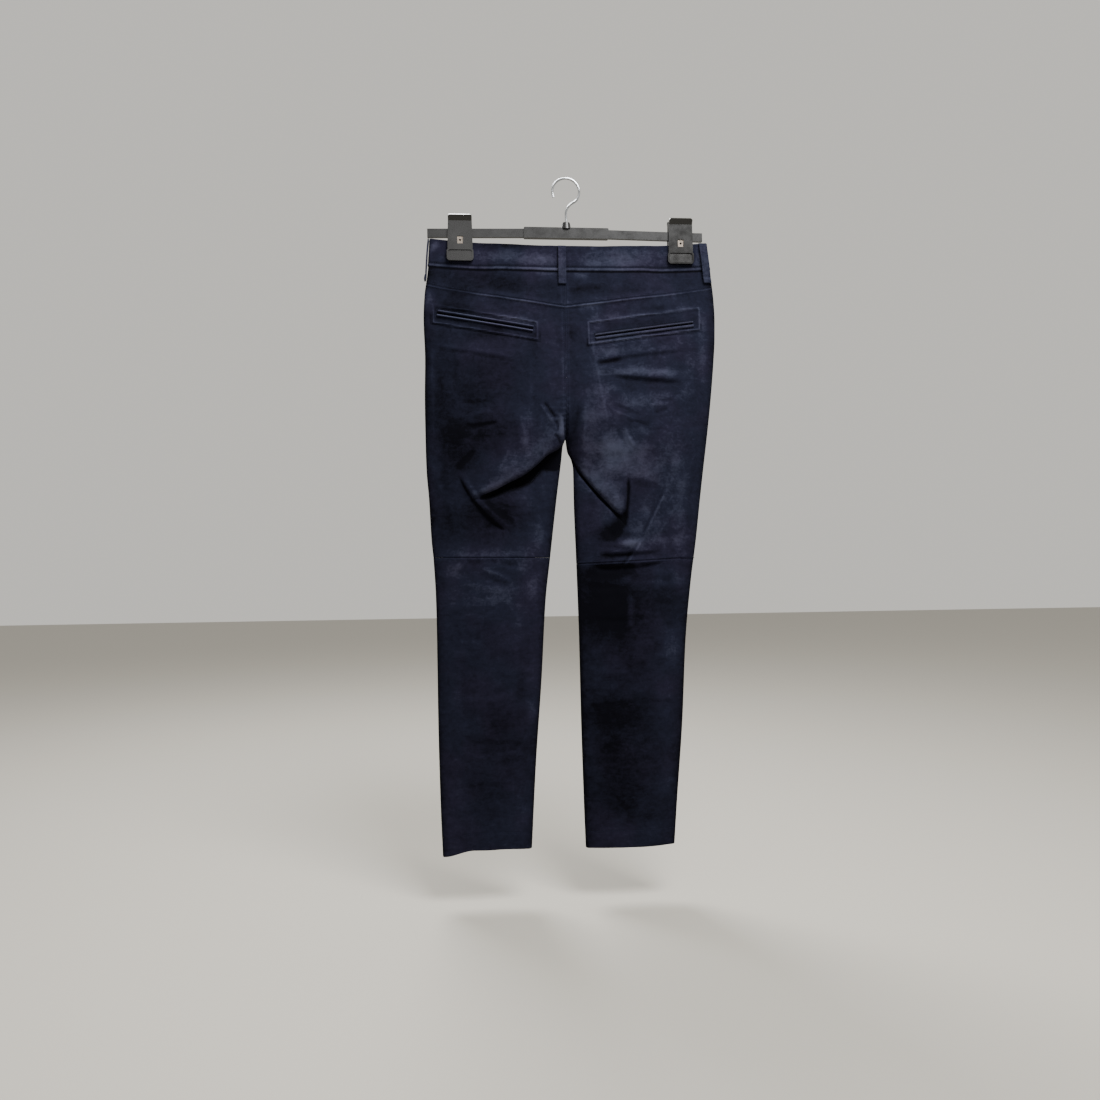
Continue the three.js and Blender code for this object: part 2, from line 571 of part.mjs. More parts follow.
function hangerHook() {
  const centreZ = WIRE_RADIUS - HOOK_RADIUS;
  const arcPoint = (degrees) => {
    const a = THREE.MathUtils.degToRad(degrees);
    return new THREE.Vector3(HOOK_RADIUS * Math.cos(a), 0, centreZ + HOOK_RADIUS * Math.sin(a));
  };
  const bend = [205, 185, 165, 145, 125, 107.5, 90, 72.5, 55, 35, 15, -5, -25, -42].map(arcPoint);
  const stem = [[9, -37.5], [3, -43.5], [0, -51], [0, -59], [0, HUB.bossTop + SEAM_GAP]];
  const path = new THREE.CatmullRomCurve3([...bend, ...stem.map(([x, z]) => new THREE.Vector3(x, 0, z))]);
  const section = new THREE.Shape().absarc(0, 0, WIRE_RADIUS, 0, 2 * Math.PI);
  return new THREE.ExtrudeGeometry(section, { extrudePath: path, steps: 48, curveSegments: 5 });
}

// The jaw's outline from its pad up to its lever, with one hole in it
function jawOutline(hole) {
  const padTop = JAW.padFoot + JAW.padHeight;
  const outline = new THREE.Shape()
    .moveTo(-JAW.width / 2 + 1.5, padTop - 6)
    .lineTo(JAW.width / 2 - 1.5, padTop - 6)
    .lineTo(JAW.neck / 2, padTop + 3)
    .lineTo(JAW.neck / 2 - 1, SLOT.top + 3)
    .lineTo(-JAW.neck / 2 + 1, SLOT.top + 3)
    .lineTo(-JAW.neck / 2, padTop + 3);
  outline.holes.push(roundedOutline(-hole.width / 2, hole.foot, hole.width / 2, hole.top, 1));
  return outline;
}

// A jaw with a slot for the spring's leg on its inner side, a small window over it, and a pad whose dished face
// leans, deeper at its top
function clipJaw(x, face) {
  const inside = PINCH_DEPTH + SEAM_GAP / 2 + BAND_PROUD + SEAM_GAP;
  const padTop = JAW.padFoot + JAW.padHeight;
  const halfPad = JAW.width / 2;
  const pad = roundedOutline(-halfPad, JAW.padFoot, halfPad, padTop, 5);
  const [dishFoot, dishTop] = [JAW.padFoot + JAW.rim, padTop - JAW.rim];
  const dish = roundedOutline(-halfPad + JAW.rim, dishFoot, halfPad - JAW.rim, dishTop, 3.5);
  const lever = roundedOutline(-JAW.neck / 2 + 1, SLOT.top + 1, JAW.neck / 2 - 1, JAW.top, 3);
  const tilt = new THREE.Matrix4().makeTranslation(0, inside, SLOT.top + 1)
    .multiply(new THREE.Matrix4().makeRotationX(-Math.atan2(JAW.flare, JAW.top - SLOT.top)))
    .multiply(new THREE.Matrix4().makeTranslation(0, -inside, -SLOT.top - 1));
  const body = [
    solid(plate(jawOutline(SLOT), inside, JAW.slotDeep)),
    solid(plate(jawOutline(WINDOW), inside + JAW.slotDeep, JAW.plateThick - JAW.slotDeep)),
    solid(plate(pad, inside, JAW.padThick)),
    solid(plate(lever, inside, JAW.plateThick), tilt),
  ].reduce((sum, next) => sum.add(next));
  const floor = inside + JAW.padThick - JAW.dish.foot;
  const lean = Math.atan2(JAW.dish.top - JAW.dish.foot, dishTop - dishFoot);
  const leaning = new THREE.Matrix4().makeTranslation(0, floor, dishFoot)
    .multiply(new THREE.Matrix4().makeRotationX(lean))
    .multiply(new THREE.Matrix4().makeTranslation(0, -floor, -dishFoot));
  const geometry = geometryOf(body.subtract(solid(plate(dish, floor, JAW.padThick), leaning)));
  if (face === 'back') geometry.rotateZ(Math.PI);
  geometry.translate(x, 0, 0);
  return geometry;
}

// A sprung strip bowed over the bar, a hole through the foot of both legs
function clipSpring(x) {
  const [outside, inside] = [SPRING.legY + SPRING.thick / 2, SPRING.legY - SPRING.thick / 2];
  const bow = new THREE.Shape()
    .moveTo(outside, SPRING.foot)
    .lineTo(outside, SPRING.bendZ)
    .absarc(0, SPRING.bendZ, outside, 0, Math.PI)
    .lineTo(-outside, SPRING.foot)
    .lineTo(-inside, SPRING.foot)
    .lineTo(-inside, SPRING.bendZ)
    .absarc(0, SPRING.bendZ, inside, Math.PI, 0, true)
    .lineTo(inside, SPRING.foot);
  const strip = plate(bow, -SPRING.width / 2, SPRING.width, 8);
  strip.rotateZ(Math.PI / 2);
  const drill = new THREE.CylinderGeometry(SPRING.holeRadius, SPRING.holeRadius, 4 * outside, 12);
  drill.translate(0, 0, SPRING.holeZ);
  const geometry = geometryOf(solid(strip).subtract(solid(drill)));
  geometry.translate(x, 0, 0);
  return geometry;
}

function frontButton() {
  const x = FRONT_CENTRE_TOP_X + BUTTON.fromCentre;
  const z = bandFoot(x) + BUTTON.aboveBandFoot;
  const { radius, thick, rim, dishRadius } = BUTTON;
  const profile = [
    [0, 0], [radius - rim, 0], [radius, rim], [radius, thick - rim], [radius - rim, thick],
    [dishRadius + rim, thick], [dishRadius, thick - rim], [0, thick - rim],
  ].map(([r, h]) => new THREE.Vector2(r, h));
  const geometry = new THREE.LatheGeometry(profile, 28);
  const { point } = surfaceAtX('front', x, z);
  geometry.translate(x, point.y + BAND_WALL + BAND_PROUD + LAP_CLEARANCE + 0.4, z);
  return geometry;
}

const MATERIALS = {
  suede: new THREE.MeshStandardMaterial({ color: 0x23263a, roughness: 0.95, metalness: 0 }),
  plastic: new THREE.MeshStandardMaterial({ color: 0x1b1c1e, roughness: 0.45, metalness: 0 }),
  steel: new THREE.MeshStandardMaterial({ color: 0xb9bcc0, roughness: 0.3, metalness: 1 }),
  horn: new THREE.MeshStandardMaterial({ color: 0x15161c, roughness: 0.35, metalness: 0 }),
};

const trousers = new THREE.Group();
function add(name, geometry, material) {
  const mesh = new THREE.Mesh(geometry, MATERIALS[material]);
  mesh.name = name;
  trousers.add(mesh);
}

for (const side of ['left', 'right']) {
  add(`waistband_${side}`, waistband(side), 'suede');
  const backTop = bandFootLine(side, 'back', -half);
  add(`yoke_${side}`, panel(side, 'back', 14, between(backTop, yokeLine(half), 3)), 'suede');
  add(`back_upper_${side}`, panel(side, 'back', 18, upperRows(side, 'back', yokeLine(-half), 13, 5)), 'suede');
  const frontTop = bandFootLine(side, 'front', -half);
  add(`front_upper_${side}`, panel(side, 'front', 12, upperRows(side, 'front', frontTop, 9, 4)), 'suede');
  for (const face of ['back', 'front']) add(`${face}_lower_${side}`, lowerPanel(side, face), 'suede');
  add(`welt_${side}_upper`, welt(side, 1), 'suede');
  add(`welt_${side}_lower`, welt(side, -1), 'suede');
  add(`clip_${side}_jaw_back`, clipJaw(CLIP_X[side], 'back'), 'plastic');
  add(`clip_${side}_jaw_front`, clipJaw(CLIP_X[side], 'front'), 'plastic');
  add(`clip_${side}_spring`, clipSpring(CLIP_X[side]), 'steel');
}
add('loop_centre_back', faceLoop('back', () => CENTRE_X - LOOP.centreInset), 'suede');
add('loop_right', faceLoop('back', (z) => outerX('right', z) - LOOP.rightInset), 'suede');
add('loop_left', sideLoop(), 'suede');
add('loop_front_left', faceLoop('front', () => FRONT_CENTRE_TOP_X - LOOP.front), 'suede');
add('loop_front_right', faceLoop('front', () => FRONT_CENTRE_TOP_X + LOOP.front), 'suede');
add('waist_button', frontButton(), 'horn');
add('hanger_bar', hangerBar(), 'plastic');
add('hanger_hook', hangerHook(), 'steel');

export default trousers;
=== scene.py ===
"""Dressed model of slim suede trousers that hang by the waistband from a clip hanger, back outwards.

The cloth is worked out from short tables of its seams, fullness and folds, in millimetres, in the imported
part's frame: +Z up, -Y the side the back of the trousers faces, -X the wearer's left, the origin under the
hook's arch.
"""

import math
from functools import partial

import bpy
import numpy as np
from mathutils import Matrix, Vector


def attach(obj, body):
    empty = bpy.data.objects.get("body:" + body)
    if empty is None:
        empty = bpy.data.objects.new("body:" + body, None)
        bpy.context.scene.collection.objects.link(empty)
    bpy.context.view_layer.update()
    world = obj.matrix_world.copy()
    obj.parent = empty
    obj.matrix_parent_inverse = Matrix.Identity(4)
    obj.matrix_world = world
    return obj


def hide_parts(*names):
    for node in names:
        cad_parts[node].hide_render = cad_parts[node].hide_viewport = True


bl_info = {
    "name": "Suede trousers on a hanger",
    "version": (1, 0, 0),
    "blender": (4, 5, 0),
    "location": "View3D > Sidebar > Trousers",
    "description": "Dresses the packed trousers with suede panels, seams and stitches",
    "category": "Object",
}

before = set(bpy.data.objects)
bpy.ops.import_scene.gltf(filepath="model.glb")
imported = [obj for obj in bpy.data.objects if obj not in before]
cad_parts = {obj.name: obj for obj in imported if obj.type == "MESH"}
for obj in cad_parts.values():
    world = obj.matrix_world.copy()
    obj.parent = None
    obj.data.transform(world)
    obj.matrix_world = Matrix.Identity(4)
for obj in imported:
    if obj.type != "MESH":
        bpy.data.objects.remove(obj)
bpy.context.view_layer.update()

MM = 0.001
LEFT, RIGHT = "left", "right"
BACK, FRONT = "back", "front"
SIGN = {LEFT: -1, RIGHT: 1}
FACE = {BACK: -1, FRONT: 1}

# Cloth walls and seams
LEATHER = 1.2
BAND_WALL = 2.6
BAND_PROUD = 0.8
BAND_HEIGHT = 40
HEM_WALL = 2.4
HEM_DEPTH = 26
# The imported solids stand 0.3 apart at seams, where the sewn cloth touches
SEAM_GAP = 0.04
WELT_GAP = 0.3
EDGE_RADIUS = 3.5
LENS_POWER = 0.75
LEAST_DEPTH = 1.6
PANEL_WIDTH = {"upper": 200, "lower": 170}
# Widths beside an edge over which folds, ridges, relief and slack fade, and the depth under which they do
EDGE_FADE, RIDGE_FADE, RELIEF_FADE, SLACK_FADE, THIN_FADE = 14, 5, 4, 20, 3
PANEL_RIM = 0.9
BAND_RIM = 1.5
THINNEST = 0.12

# Seam heights below the hook
CROTCH_Z = -405
CLEFT_TOP_Z = -345
BAND_TOP = {"centre": -105.5, "side": -96}
BAND_FOOT = {"centre": -145.2, "side": -138.8}
YOKE_SEAM = {"centre": -201.3, "side": -166}
YOKE_BEND = 0.92
KNEE_SEAM = {LEFT: {"outer": -585, "inner": -587}, RIGHT: {"outer": -589, "inner": -597}}
HEM = {
    LEFT: {"z": -1033, "outer_droop": 10.5, "inner_droop": 2},
    RIGHT: {"z": -1036.8, "outer_droop": -1, "inner_droop": 0.5},
}
HEM_CORNER = 0.36

# Centre lines and waist
CENTRE_X = -5
FRONT_CENTRE_TOP_X = 8
SILHOUETTE_CENTRE_X = 6
WAIST_HALF = 215
FLY_END_Z, FLY_FULL_Z = -285, -260
LIFT_START_Z, LIFT_FULL_Z = -350, -315
FLY_LAP = 10
FLY_ROW = 34
BAND_LAP = 30
LAP_CLEARANCE = 0.4
LAP_EASE, BAND_LAP_EASE = (-18, -6), (-20, -4)

# Clips
CLIP_X = {LEFT: -164, RIGHT: 179}
PINCH_DEPTH = 2.2
PINCH_HALF_WIDTH = 24
PINCH_REACH = 66
PINCH_END_Z, PINCH_FULL_Z = -200, -142


def table(columns, rows):
    """Rows of a short table as dicts with the named columns."""
    return [dict(zip(columns.split(), row)) for row in rows]


def column(rows, name):
    """One column of a table as an array."""
    return np.array([row[name] for row in rows], float)


SIDE_SEAM = {
    LEFT: table("z x", [
        (-96, -210), (-145, -213.8), (-185, -219.5), (-220, -221.2), (-280, -219.5), (-343, -220.6),
        (-404, -220.2), (-450, -219.2), (-496, -215.8), (-558, -212.7), (-588, -210), (-650, -206.9),
        (-712, -206), (-834, -205.5), (-957, -203.4), (-1044, -200.5),
    ]),
    RIGHT: table("z x", [
        (-96, 221), (-145, 227), (-185, 231.6), (-216, 233.2), (-248, 232.8), (-279, 230.9), (-342, 225.4),
        (-404, 218.3), (-452, 212.2), (-499, 206.5), (-562, 199.3), (-624, 190.7), (-718, 181.2),
        (-844, 174.7), (-969, 164.9), (-1044, 159.5),
    ]),
}
INSEAM = {
    LEFT: table("z x", [
        (-405, -5.3), (-415, -9), (-436, -11.4), (-497, -19.5), (-590, -30.7), (-652, -38), (-776, -45.8),
        (-900, -55.4), (-1044, -64),
    ]),
    RIGHT: table("z x", [
        (-405, -4.7), (-423, -2.3), (-436, 3.8), (-451, 6.7), (-497, 7.1), (-590, 9.9), (-714, 13.2),
        (-838, 14.9), (-962, 17.8), (-1044, 20.3),
    ]),
}

# Half depths of the hanging cloth, the share of a sine wave across a panel, and the width of the seat's cleft
FULLNESS = table("z back front wave cleft", [
    (-96, 7, 7, 0.5, 70), (-145, 10, 9, 0.5, 70), (-200, 16, 13, 0.5, 70), (-280, 24, 16, 0.52, 70),
    (-340, 29, 18, 0.6, 60), (-385, 31, 18, 0.74, 45), (-405, 30, 18, 0.84, 32), (-436, 25, 18, 0.95, 16),
    (-470, 21, 17, 1, 9), (-530, 18, 16, 1, 6), (-590, 17, 16, 1, 5), (-712, 16, 15, 1, 4.5),
    (-900, 14, 14, 1, 4.5), (-1044, 12, 12, 1, 4.5),
])

# The fold down and out from the crotch. share is 0 at the side seam and 1 at the centre seam or inseam.
CROTCH_FOLD = {
    (LEFT, BACK): table("share z strength hollow", [
        (0, -494, 0, 0), (0.3, -490, 0, 0), (0.44, -482, 0.35, 3), (0.515, -474.5, 0.7, 5),
        (0.617, -462.5, 0.9, 7), (0.724, -450.5, 1, 13), (0.785, -440.5, 1, 16), (0.85, -427.5, 1, 12),
        (0.89, -419.5, 1, 19), (0.973, -410.5, 0.7, 28), (1, -405, 0, 30),
    ]),
    (RIGHT, BACK): table("share z strength hollow", [
        (0, -548, 0, 0), (0.5, -548, 0, 0), (0.6, -527, 0, 0), (0.666, -513, 0.2, 0), (0.839, -477, 0.3, 0),
        (0.94, -452, 0.25, 0), (0.977, -441, 0.12, 0), (1, -405, 0, 0),
    ]),
    (LEFT, FRONT): table("share z strength hollow", [
        (0, -470, 0, 0), (0.3, -470, 0, 0), (0.5, -465, 0.15, 0), (0.7, -450, 0.3, 1), (0.9, -425, 0.3, 2),
        (1, -405, 0, 2),
    ]),
    (RIGHT, FRONT): table("share z strength hollow", [
        (0, -478, 0, 0), (0.35, -478, 0, 0), (0.55, -468, 0.2, 0), (0.75, -448, 0.35, 1), (0.9, -424, 0.3, 2),
        (1, -405, 0, 2),
    ]),
}
# Section through that fold: distance above its lip (mm plus a share of the hollow), and shifts out and up
FOLD_SECTION = table("above hollow_share out rise", [
    (70, 0, 0, 0), (30, 0, 3, 0), (12, 0, 6, -2), (4, 0, 6, -5), (0, 0, 3, -8), (-3, 0, -5, -7),
    (-6, 0, -14, -1), (-9, 0, -21, 3), (-9.5, -0.3, -25, 0), (-10, -0.8, -24, 0), (-12, -1, -12, 0),
    (-16, -1, -4, 1), (-28, -1, -1, 0), (-42, -1, 0, 0),
])

# Larger creases, as curves by ends and middle control point. The cloth stands out by lip on the curve's left
# hand and falls back by drop on its right hand, each dying away over its own reach.
CREASE_COLUMNS = "x0 z0 xm zm x1 z1 lip drop lip_reach drop_reach"
CREASES = {
    BACK: table(CREASE_COLUMNS, [
        (87, -506, 90, -550, 58, -566, 2, 9, 14, 15),
        (40, -581, 90, -585, 146, -577, 2.5, 3, 9, 7),
        (28, -599, 85, -603, 146, -596, 2.5, 4.5, 9, 10),
        (-172, -455, -144, -519, -94, -548, 3, 3.5, 13, 12),
        (-164, -385, -135, -389, -106, -378, 1.5, 2.5, 12, 8),
        (38, -291, 92, -277, 194, -265, 1.2, 2, 14, 8),
        (58, -309, 120, -314, 182, -317, 2, 3, 12, 10),
        (30, -680, 95, -690, 165, -676, -1, 2, 26, 26),
        (-190, -705, -120, -716, -52, -700, -1, 1.6, 26, 26),
    ]),
    FRONT: table(CREASE_COLUMNS, [
        (-60, -575, -120, -588, -190, -570, 1.5, 3, 16, 14),
        (40, -582, 110, -596, 180, -578, 1.5, 3, 16, 14),
        (-150, -360, -90, -372, -40, -400, 1, 2.5, 18, 16),
        (150, -352, 95, -368, 35, -398, 1, 2.5, 18, 16),
        (-185, -700, -120, -712, -60, -698, -1, 1.8, 26, 26),
        (35, -690, 95, -700, 160, -684, -1, 1.8, 26, 26),
    ]),
}
CREASE_STEPS = 14
CREASE_ENDS, RIDGE_ENDS = 0.25, 0.2
CREASE_BLEND = 4

# Small ridges (height above 0) and troughs (below 0) in the nap, curves as above, with a half width
RIDGE_COLUMNS = "x0 z0 xm zm x1 z1 height width"
RIDGES = {
    BACK: table(RIDGE_COLUMNS, [
        (31, -222, 42, -300, 60, -392, 0.5, 2.2),  # pocket bag's inner edge, right
        (-58, -246, -56, -320, -64, -400, 0.35, 3),  # pocket bag's inner edge, left
        (-208, -258, -210, -320, -206, -390, 0.5, 2.4),  # pocket bag's outer edge, left
        (-206, -259, -135, -271, -82, -281, 0.6, 3),  # pocket bag's hem, left
        (-204, -265, -135, -277, -80, -287, -0.7, 3),
        (-176, -266, -172, -300, -174, -336, -0.4, 3.4),
        (40, -290, 62, -288, 84, -280, -1.6, 3),  # wedge under the right pocket
        (84, -280, 140, -276, 190, -266, -0.5, 2.4),
        (58, -310, 120, -315, 184, -318, -1.0, 5),  # dark band across the right seat
        (64, -299, 120, -303, 180, -306, 0.5, 5),
        (134, -345, 150, -347, 166, -343, -0.9, 2.4),
        (64, -354, 86, -358, 112, -372, -0.9, 2.2),
        (128, -366, 142, -362, 154, -357, -1.0, 2.2),
        (84, -376, 104, -379, 124, -387, -0.9, 2.2),
        (60, -362, 80, -366, 104, -380, 0.6, 2.4),
        (120, -352, 138, -354, 156, -350, 0.5, 2.4),
        (118, -390, 130, -393, 144, -389, -0.6, 2.2),
        (82, -384, 88, -404, 100, -420, 0.9, 3),  # ridge down from the right seat
        (70, -386, 78, -404, 90, -424, -0.5, 3),
        (-22, -393, 30, -483, 70, -519, -2.2, 1.7),  # edge of the fold down the right inner thigh
        (89.5, -460, 93, -500, 82, -546, -3.0, 2.4),  # dark cleft above the deep dent
        (96, -464, 104, -480, 140, -474, -0.4, 8),
        (152, -478, 134, -518, 112, -558, 0.9, 1.9),  # thin ridge down the right thigh
        (112, -558, 98, -585, 72, -614, 1.3, 1.9),
        (147, -480, 129, -520, 107, -560, -0.8, 2.4),
        (107, -560, 94, -584, 68, -612, -1.0, 2.4),
        (165, -508, 146, -544, 118, -575, 0.4, 2),
        (196, -436, 190, -500, 182, -560, -0.5, 5),
        (-196, -430, -190, -500, -180, -566, -0.5, 5),
        (-162, -384, -136, -386, -108, -379, -1.1, 2.2),  # short crease on the left seat
        (-150, -402, -120, -404, -100, -398, -0.5, 3),
        (-174, -453, -160, -440, -143, -418, -1.3, 4),  # short crease on the left thigh
        (-172, -455, -145, -519, -95, -548, -1.9, 1.6),  # long crease below it
        (-166, -452, -136, -512, -90, -540, 0.7, 3),
        (-204, -470, -186, -490, -170, -545, 0.4, 4),
        (-138, -492, -120, -508, -92, -530, -0.6, 5),
        (-160, -372, -140, -366, -112, -362, 0.5, 3),
        (-170, -350, -140, -347, -112, -350, -0.5, 3),
        (-78, -360, -70, -392, -66, -424, 0.6, 3),
        (-88, -360, -82, -392, -80, -424, -0.4, 3),
        (-112, -462, -102, -440, -88, -416, 0.5, 3),
        (-40, -350, -32, -358, -20, -378, -2.2, 1.7),  # notches and ruffles into the crotch, left
        (-46, -352, -38, -364, -24, -384, 1.1, 2),
        (-23, -378, -16, -384, -20, -396, -2.0, 1.8),
        (-16, -366, -10, -384, -12, -402, 1.7, 2.2),
        (-24, -398, -18, -400, -13, -410, -1.8, 1.6),
        (-8, -372, -7, -388, -7, -402, -0.8, 1.6),
        (14, -352, 12, -380, 4, -400, -0.8, 3),
        (24, -340, 24, -380, 20, -420, 0.5, 3.0),
        (-120, -500, -84, -514, -50, -508, -0.5, 4),  # left thigh under the lip
        (-96, -520, -70, -536, -40, -540, 0.5, 4),
        (-88, -520, -80, -536, -84, -556, 0.4, 3),
        (-160, -592, -148, -594, -138, -590, -1.1, 4),  # lumps below the left knee seam
        (-124, -588, -118, -592, -114, -594, -0.8, 3),
        (-104, -594, -92, -598, -80, -596, -1.1, 4),
        (-140, -602, -116, -606, -84, -628, 0.9, 3),
        (-146, -610, -120, -616, -96, -630, -0.6, 3),
        (-190, -596, -178, -600, -160, -598, 0.5, 4),
        (-180, -622, -120, -636, -70, -634, 0.4, 5),
        (44, -566, 80, -570, 112, -562, 1.4, 4),  # roll over the right knee
        (40, -583, 74, -587, 108, -580, -1.6, 3.4),
        (36, -602, 70, -608, 104, -598, -2.6, 5),  # gap under the right knee seam
        (104, -598, 124, -600, 146, -596, -1.2, 2.6),
        (20, -622, 60, -626, 104, -620, 0.7, 4),
        (20, -634, 90, -638, 150, -630, -0.5, 4),
        (120, -610, 150, -612, 178, -606, 0.4, 5),
        (91, -640, 93, -672, 90, -702, 1.2, 5),  # standing edge beside the dark of the right shin
        (20, -818, 60, -812, 100, -816, -0.5, 4),
        (100, -806, 130, -812, 165, -814, -0.5, 3),
        (28, -742, 90, -750, 150, -738, 0.4, 6),
        (60, -900, 90, -912, 124, -890, -0.4, 5),
        (-180, -800, -130, -806, -80, -798, 0.4, 6),
        (-160, -868, -120, -866, -68, -874, -0.6, 4),
        (-108, -886, -90, -884, -76, -888, 0.5, 4),
        (-170, -930, -130, -938, -96, -930, -0.4, 5),
    ]),
    FRONT: table(RIDGE_COLUMNS, [
        (-196, -204, -176, -238, -150, -286, 0.5, 4),
        (206, -204, 184, -238, 160, -286, 0.5, 4),
        (-60, -330, -36, -356, -10, -378, -0.8, 3),
        (-74, -352, -46, -378, -14, -396, 0.7, 3),
        (64, -328, 40, -354, 10, -376, -0.8, 3),
        (84, -350, 52, -376, 12, -394, 0.7, 3),
        (-150, -420, -110, -430, -70, -452, -0.6, 4),
        (160, -412, 118, -424, 74, -446, -0.6, 4),
        (-170, -560, -120, -570, -70, -562, -0.9, 4),
        (-176, -604, -120, -612, -60, -600, 0.8, 5),
        (40, -560, 104, -572, 170, -562, -0.9, 4),
        (36, -608, 100, -618, 166, -606, 0.8, 5),
        (-160, -640, -120, -650, -76, -640, -0.5, 5),
        (50, -648, 100, -658, 150, -646, -0.5, 5),
        (-150, -820, -120, -826, -84, -818, -0.4, 6),
        (50, -836, 90, -842, 130, -832, -0.4, 6),
    ]),
}

# Pockets, belt loops
POCKETS = {
    LEFT: {"inner": (-54, -237.2), "outer": (-200, -211.4)},
    RIGHT: {"inner": (40.8, -248.3), "outer": (197, -224.1)},
}
POCKET_FRAME = {
    "end": {LEFT: 5, RIGHT: 8.5}, "above": {LEFT: 11.5, RIGHT: 23}, "below": {LEFT: 14.5, RIGHT: 10},
    "line": 1.4, "raised": 1.5, "shade": 3.4, "shaded": 1.1, "pressed": 0.5, "slit": 1.2,
}
WELT = {"height": 4, "slit": 2.8, "thick": 1.2, "bead": 0.5, "seat": 0.15, "end": 1.5, "rim": 0.08}
# Painted highlight (above 0) and painted shade (below 0) on each lip beside the slit and at its outer edge,
# the upper lip being 1 and the lower one -1
WELT_LIGHT_AND_SHADE = {
    (LEFT, 1): (-0.2, 0.7), (LEFT, -1): (1.8, -0.3), (RIGHT, 1): (2.2, -0.4), (RIGHT, -1): (0.6, 0.6),
}
LOOP = {
    "width": 12.4, "thick": 2, "tail": 21, "bulge": 2.2, "side_bulge": 0.9, "seat": 1.15, "front": 75,
    "right_inset": 7.5, "centre_inset": 3, "tone": 0.35, "turned": 0.86, "turned_thick": 0.8,
    "row_inset": 2.8, "row_dent": 0.3, "bar_dent": 0.5,
}
STITCH = {"length": 2.5, "pitch": 3.2, "radius": 0.3}
# Rows of stitches, by their distance from their seam, and the waistband's row above its foot
ROWS = {"yoke": 2.4, "centre": 2.4, "knee": 2.2, "welt": 1.4, "welt_end": 2.2, "waistband": 6.2}

# Beads (height above 0) and grooves (below 0) beside the seams, by their height above the seam and half width
SEAM_BEADS = table("seam above height width", [
    ("knee", 0, 0.5, 6), ("knee", 0, -0.6, 1.1), ("hem", 0, -0.4, 1.2), ("yoke", -1.8, 1.9, 1.7),
    ("yoke", 0.9, -0.6, 0.8),
])
YOKE_ALLOWANCE = 0.4
CENTRE_SEAM = {
    "allowance": 0.45, "width": 7.5, "groove": 0.45, "groove_width": 0.9, "pucker": 0.4, "pucker_reach": 13,
    "pucker_pitch": 8.5, "pucker_start_z": -318, "pucker_full_z": -352, "swing": 0.55, "stagger": 0.45,
}
BAND_BEADS = table("above height width", [(ROWS["waistband"], -0.7, 1.1), (2.6, 0.4, 2.2)])

# Slack of the hide: waves by their length, turn in degrees, phase and height, in another place on each face
UNDULATIONS = table("length turn phase height", [
    (83, 12, 0.3, 0.34), (61, 101, 1.9, 0.3), (47, -24, 4.1, 0.24), (37, 78, 2.6, 0.18), (29, 8, 5.2, 0.14),
    (23, -61, 0.9, 0.1), (18, 95, 3.7, 0.09), (14, 30, 1.1, 0.06),
])
FACE_SHIFT = 300

# Painted light and shade in the nap's colour: highlights where the cloth stands out, shade in hollows,
# troughs, grooves, under the waistband and at a leg's edges
RIDGE_SHADING, HOLLOW_SHADE, HOLLOW_START, HOLLOW_DEPTH, LIP_HIGHLIGHT, LIP_HEIGHT = 0.38, 2.0, 2.5, 6, 0.045, 6
BAND_RELIEF_SHADING, EDGE_SHADE, EDGE_REACH, BAND_SHADOW_TONE, BAND_SHADOW_REACH = 1.2, 0.8, 5, 3, 1.6
